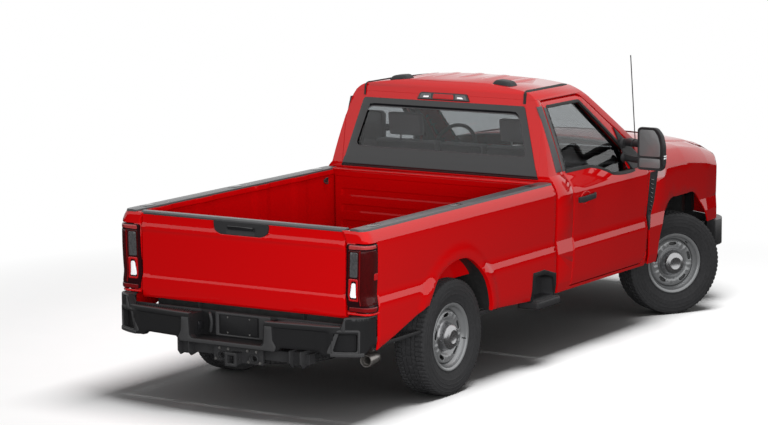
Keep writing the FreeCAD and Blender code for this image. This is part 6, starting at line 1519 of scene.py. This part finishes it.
def make_steering_wheel():
    body = "steering_wheel"
    hub = Vector((0.655, 0.366, 1.385))
    tilt = math.radians(24)
    along = Vector((math.cos(tilt), 0, -math.sin(tilt)))
    upward = Vector((math.sin(tilt), 0, math.cos(tilt)))
    side = Vector((0, 1, 0))
    rim = []
    for c, s in circle(48):
        out = side * c + upward * s
        rim.append(oval(hub + out * 0.176, out * 0.014, along * 0.015, 12))
    show("wheel_rim", loft(rim, looped=True), "dark_trim", body, "steering_wheel")
    pad = [oval(hub + along * depth, side * size * 1.12, upward * size * 0.92, 28) for depth, size in (
        (0.028, 0.05), (0.024, 0.062), (0.004, 0.066), (-0.012, 0.058), (-0.016, 0.03))]
    show("wheel_pad", loft(pad), "dark_trim", body)
    spokes = []
    for way, wide in ((side, 0.02), (-side, 0.02), (-upward, 0.015)):
        across = along.cross(way)
        spokes.append(loft([oval(hub + way * reach, across * wide * thin, along * 0.008, 12)
                            for reach, thin in ((0.05, 1.2), (0.1, 0.9), (0.165, 1.0))]))
    show("wheel_spokes", merged(spokes), "dark_trim", body)


def make_dashboard():
    face_x = 0.866
    bezel = panel(rectangle(-0.15, 0.15, 1.135, 1.318, 0.014), facing_back(face_x - 0.018), 0.022,
                  spacing=0.04)
    show("dash_bezel", bezel, "dark_trim")
    screen = panel(rectangle(-0.128, 0.128, 1.195, 1.302, 0.006), facing_back(face_x - 0.021), 0.004,
                   spacing=0.05, edge=0.001)
    show("dash_screen", screen, "black_gloss")
    knob = lathe([(0, -0.016), (0.013, -0.016), (0.016, -0.002), (0, -0.001)], 18)
    knobs = [placed(knob, turned((face_x - 0.014, y, 1.165), -quarter_turn, "Z"))
             for y in (-0.105, 0.105, -0.055, 0.0, 0.055)]
    show("dash_knobs", merged(knobs), "grey_trim")
    vents = []
    for y0, y1 in ((-0.62, -0.46), (-0.25, -0.17), (0.17, 0.25), (0.58, 0.72)):
        rim = rectangle(y0, y1, 1.19, 1.27, 0.012)
        opening = rectangle(y0 + 0.01, y1 - 0.01, 1.2, 1.26, 0.006)
        vents.append(panel(rim, facing_back(face_x - 0.006), 0.012, [opening], edge=0.003))
        for k in range(4):
            z = 1.208 + 0.0145 * k
            vents.append(box((face_x - 0.004, y0 + 0.008, z), (face_x + 0.008, y1 - 0.008, z + 0.004),
                             0.001, 1))
    show("dash_vents", merged(vents), "black_trim")
    show_pair("belt_guides", box((-0.06, 0.788, 1.5), (-0.035, 0.804, 1.6)), "dark_trim")
    mirror = prism(rectangle(-0.12, 0.12, 1.765, 1.83, 0.018), "x", 0.56, 0.582, 0.006)
    stem = tube([(0.575, 0.0, 1.8), (0.64, 0.0, 1.868)], 0.009, 8)
    show("inner_mirror", merged([mirror, stem]), "black_trim")


# Front end
ahead_of_all = 4.0


def draped(node_name, raise_by, level):
    """A surface that follows the front of a CAD piece, as it is at one level."""
    trees = trees_of(node_name)

    def surface(y, z, depth):
        for share in (1.0, 0.99, 0.98, 0.97, 0.95):
            place = first_hit(trees, (ahead_of_all, y * share, level), (-1, 0, 0))
            if place is not None:
                break
        return place.x + raise_by - depth, y, z
    return surface


def make_grille():
    def front(raise_by):
        return draped("grille", raise_by, 1.13)
    outline = rounded(two_sided([(0.63, 0.7), (0.64, 1.06), (0.6, 1.14)]), 0.03)
    opening = inward(evened(outline, 0.03), 0.045)
    show("grille_frame", panel(outline, front(0.01), 0.03, [opening], edge=0.006), "black_gloss")
    bars = [panel(rectangle(-0.595, 0.595, low, high, 0.012), front(0.022), 0.04, edge=0.008)
            for low, high in ((0.8, 0.842), (0.985, 1.027))]
    show("grille_bars", merged(bars), "black_trim")
    levels = [0.752 + 0.0285 * index for index in range(13)]
    slats = [panel(rectangle(-0.585, 0.585, z, z + 0.01), front(0.004), 0.03, spacing=0.04, edge=0.002)
             for z in levels if not 0.795 < z < 0.847 and not 0.98 < z < 1.032]
    show("grille_slats", merged(slats), "black_steel")
    posts = [panel(rectangle(y - 0.006, y + 0.006, 0.745, 1.095), front(0.002), 0.02, spacing=0.04,
                   edge=0.002) for y in (-0.42, -0.21, 0.0, 0.21, 0.42)]
    show("grille_posts", merged(posts), "black_steel")


def make_headlamps():
    def front(raise_by):
        return draped("headlamps", raise_by, 1.0)
    lens = rounded([(0.672, 0.875), (0.94, 0.89), (0.948, 1.12), (0.672, 1.135)], 0.025)
    show_pair("headlamp_bezel", panel(lens, front(0.003), 0.02, spacing=0.025, edge=0.003), "black_gloss")
    for name, corners, tone, raise_by in (
            ("upper", [(0.69, 1.02), (0.86, 1.024), (0.866, 1.112), (0.69, 1.118)], "lamp_white", 0.007),
            ("lower", [(0.69, 0.892), (0.86, 0.898), (0.862, 0.985), (0.69, 0.985)], "lamp_grey", 0.007),
            ("marker", [(0.882, 0.905), (0.93, 0.91), (0.936, 1.1), (0.884, 1.104)], "lamp_amber", 0.006)):
        shape = panel(rounded(corners, 0.016), front(raise_by), 0.01, spacing=0.02, edge=0.003)
        show_pair("headlamp_" + name, shape, tone)
    surface = front(0.008)
    rings = [tube([surface(0.775 + 0.034 * c, z + 0.034 * s, 0) for c, s in circle(24, True)], 0.004, 8)
             for z in (0.938, 1.068)]
    show_pair("headlamp_rings", merged(rings), "bright_cap")


def make_front_bumper():
    surface = draped("front_bumper", 0.004, 0.64)
    bezel = panel(rectangle(0.61, 0.77, 0.52, 0.632, 0.03), surface, 0.03,
                  [rectangle(0.64, 0.74, 0.535, 0.617, 0.03)], spacing=0.02)
    show_pair("fog_bezel", bezel, "black_gloss")
    fog = panel(rectangle(0.648, 0.732, 0.541, 0.611, 0.028), draped("front_bumper", -0.006, 0.64), 0.012,
                spacing=0.015)
    show_pair("fog_lens", fog, "lamp_white")
    grid = []
    for index in range(5):
        z = 0.534 + 0.0155 * index
        grid.append(box((2.83, -0.412, z), (2.862, 0.412, z + 0.006), 0.001, 1))
    for index in range(9):
        y = -0.38 + 0.095 * index
        grid.append(box((2.828, y - 0.003, 0.532), (2.858, y + 0.003, 0.606), 0.001, 1))
    grid.append(box((2.8, -0.43, 0.522), (2.808, 0.43, 0.62), 0.002))
    show("bumper_grid", merged(grid), "black_trim")
    bead = [surface(-0.9 + 1.8 * i / 30, 0.655, 0) for i in range(31)]
    show("bumper_bead", tube(bead, 0.008, 8), "black_trim")


def make_vents():
    trees = trees_of("fender_vents", "fender_left")

    def out(x, z, raise_by):
        place = first_hit(trees, (x, 2.0, z), (0, -1, 0))
        return x, (place.y if place is not None else 1.0) + raise_by, z
    slats = []
    for index in range(8):
        z = 1.15 - 0.034 * index
        x0 = 1.262 + 0.001 * index
        x1 = x0 + 0.05 - 0.0045 * index
        path = [out(x0, z, 0.001), out((x0 + x1) / 2, z - 0.008, 0.003), out(x1, z - 0.012, 0.001)]
        slats.append(tube(path, 0.005, 8))
    show_pair("vent_slats", merged(slats), "black_gloss")


def make_small_pieces():
    """The antenna's foot, the covers between cab and doors, and plates under the box."""
    foot = lathe([(0, 0), (0.02, 0), (0.019, 0.008), (0.008, 0.022), (0.006, 0.05), (0, 0.052)], 20)
    show("antenna_base", placed(foot, turned((1.44, -0.842, 1.372), quarter_turn, "X")), "black_trim")
    cover = on_door([(-0.003, 0.62), (-0.062, 0.975), (-0.12, 0.975), (-0.075, 0.62)])
    cover = panel(cover, side_surface(cab_profile, 0.003), 0.006, spacing=0.04, edge=0.001)
    show_pair("cab_post_cover", cover, "post_grey")
    show("rear_sill", box((-2.612, -0.8, 0.6), (-2.6, 0.8, 0.741), 0.003), "frame_steel")
    valance = [box((low, 0.93, 0.497), (high, 0.962, 0.522)) for low, high in ((-2.64, -2.03), (-1.24, -0.6))]
    show_pair("side_valance", merged(valance), "black_trim")


# Floor, light and camera
white = (1, 1, 1, 1)
floor_half = 60.0
floor_bounce = 0.07
floor_fade_start = 3.6
floor_fade_end = 5.5
world_light = 0.16
camera_place = (-17.978, -10.753, 4.144)
camera_yaw = math.radians(32.29)
camera_pitch = math.radians(-8.57)
camera_roll = math.radians(-0.46)
camera_lens = 132.7
sensor_width = 36.0
# Each soft light: its name, place, the point that it faces, its two sides, its power
# and what it lights
soft_lights = [
    ("overhead", (0.0, -2.2, 12.0), (0.0, 0.0, 0.0), (7.5, 4.8), 1050, "all"),
    ("floor_lamp", (0.0, -2.2, 12.05), (0.0, 0.0, 0.0), (7.5, 4.8), 650, "floor"),
    ("near_fill", (-10.4, -8.0, 2.6), (0.0, 0.0, 0.9), (12.0, 4.0), 2250, "object"),
    ("far_fill", (9.5, 9.0, 2.6), (0.0, 0.0, 0.9), (12.0, 4.0), 1500, "object"),
]


def seen_rays(tree, path):
    """1 for rays from the camera, also through glass."""
    seen = add_node(tree, "Math", "MAXIMUM")
    for number, kind in enumerate(("Is Camera Ray", "Is Transmission Ray")):
        link(tree, path, kind, seen, number)
    return seen


def mixed(tree, share, output, first, second):
    """A mix of two shaders. Each is a node and the name of its output."""
    mix = add_node(tree, "MixShader")
    link(tree, share, output, mix, "Fac")
    link(tree, *first, mix, 1)
    link(tree, *second, mix, 2)
    return mix


def make_floor():
    """Pale where the camera sees it, fading to white, and dark for the light that it gives back."""
    mesh = bpy.data.meshes.new("floor")
    corners = rectangle(-floor_half, floor_half, -floor_half, floor_half)
    mesh.from_pydata([(x, y, 0) for x, y in corners], [], [(0, 1, 2, 3)])
    floor = bpy.data.objects.new("floor", mesh)
    bpy.context.scene.collection.objects.link(floor)
    material = bpy.data.materials.new("floor_paper")
    material.use_nodes = True
    tree = material.node_tree
    shader = tree.nodes["Principled BSDF"]
    place = add_node(tree, "TexCoord")
    noise = add_node(tree, "TexNoise", Scale=3.0)
    link(tree, place, "Object", noise, "Vector")
    ramp = add_node(tree, "ValToRGB")
    for element, tone in zip(ramp.color_ramp.elements, (0.95, 0.97)):
        element.color = (tone, tone, tone, 1)
    link(tree, noise, "Fac", ramp, "Fac")
    link(tree, ramp, "Color", shader, "Base Color")
    set_inputs(shader, Roughness=0.9, Specular_IOR_Level=0.0)
    dark = add_node(tree, "BsdfDiffuse", Color=(floor_bounce, floor_bounce, floor_bounce, 1))
    glow = add_node(tree, "Emission", Color=white, Strength=1.0)
    away = add_node(tree, "VectorMath", "LENGTH")
    link(tree, place, "Object", away, 0)
    fade = add_node(tree, "MapRange", From_Min=floor_fade_start, From_Max=floor_fade_end)
    link(tree, away, "Value", fade, "Value")
    far = mixed(tree, fade, "Result", (shader, "BSDF"), (glow, "Emission"))
    seen = seen_rays(tree, add_node(tree, "LightPath"))
    mix = mixed(tree, seen, "Value", (dark, "BSDF"), (far, "Shader"))
    link(tree, mix, "Shader", tree.nodes["Material Output"], "Surface")
    mesh.materials.append(material)


def make_world():
    """White where the camera sees it, and a softer grey for the light that it gives."""
    world = bpy.data.worlds.new("studio")
    bpy.context.scene.world = world
    world.use_nodes = True
    tree = world.node_tree
    tree.nodes.clear()
    path = add_node(tree, "LightPath")
    both_rays = add_node(tree, "Math", "MAXIMUM")
    link(tree, seen_rays(tree, path), "Value", both_rays, 0)
    link(tree, path, "Is Glossy Ray", both_rays, 1)
    seen = add_node(tree, "Background", Color=white, Strength=1.0)
    given = add_node(tree, "Background", Color=white, Strength=world_light)
    mix = mixed(tree, both_rays, "Value", (given, "Background"), (seen, "Background"))
    link(tree, mix, "Shader", add_node(tree, "OutputWorld"), "Surface")


def make_lights():
    for name, place, faces, sides, power, lights in soft_lights:
        data = bpy.data.lights.new(name, "AREA")
        data.shape = "RECTANGLE"
        data.size, data.size_y = sides
        data.energy = power
        lamp = bpy.data.objects.new(name, data)
        bpy.context.scene.collection.objects.link(lamp)
        lamp.location = place
        lamp.rotation_euler = (Vector(faces) - Vector(place)).to_track_quat("-Z", "Y").to_euler()
        lamp.visible_glossy = False
        lamp.visible_transmission = False
        if lights != "all":
            lit = bpy.data.collections.new(name + "_lit")
            lamp.light_linking.receiver_collection = lit
            lit.objects.link(bpy.data.objects["floor"])
            lit.collection_objects[0].light_linking.link_state = "INCLUDE" if lights == "floor" else "EXCLUDE"


def make_camera():
    forward = Vector((
        math.cos(camera_pitch) * math.cos(camera_yaw), math.cos(camera_pitch) * math.sin(camera_yaw),
        math.sin(camera_pitch)))
    level = forward.cross(Vector((0, 0, 1))).normalized()
    across = level * math.cos(camera_roll) + level.cross(forward) * math.sin(camera_roll)
    data = bpy.data.cameras.new("camera")
    data.lens = camera_lens
    data.sensor_width = sensor_width
    camera = bpy.data.objects.new("camera", data)
    bpy.context.scene.collection.objects.link(camera)
    turn = Matrix((across, across.cross(forward), -forward)).transposed().to_4x4()
    camera.matrix_world = Matrix.Translation(camera_place) @ turn
    bpy.context.scene.camera = camera
    bpy.context.scene.view_settings.view_transform = "Standard"


make_finishes()
dress_nodes()
make_wheels()
make_doors()
make_box_sides()
make_tailgate()
make_tail_lamps()
make_rear_bumper()
make_hitch_parts()
make_rail_caps()
make_bed()
make_box_steps()
make_rear_glass()
make_roof()
make_mirrors()
make_seats()
make_steering_wheel()
make_dashboard()
make_grille()
make_headlamps()
make_front_bumper()
make_vents()
make_small_pieces()
make_floor()
make_world()
make_lights()
make_camera()
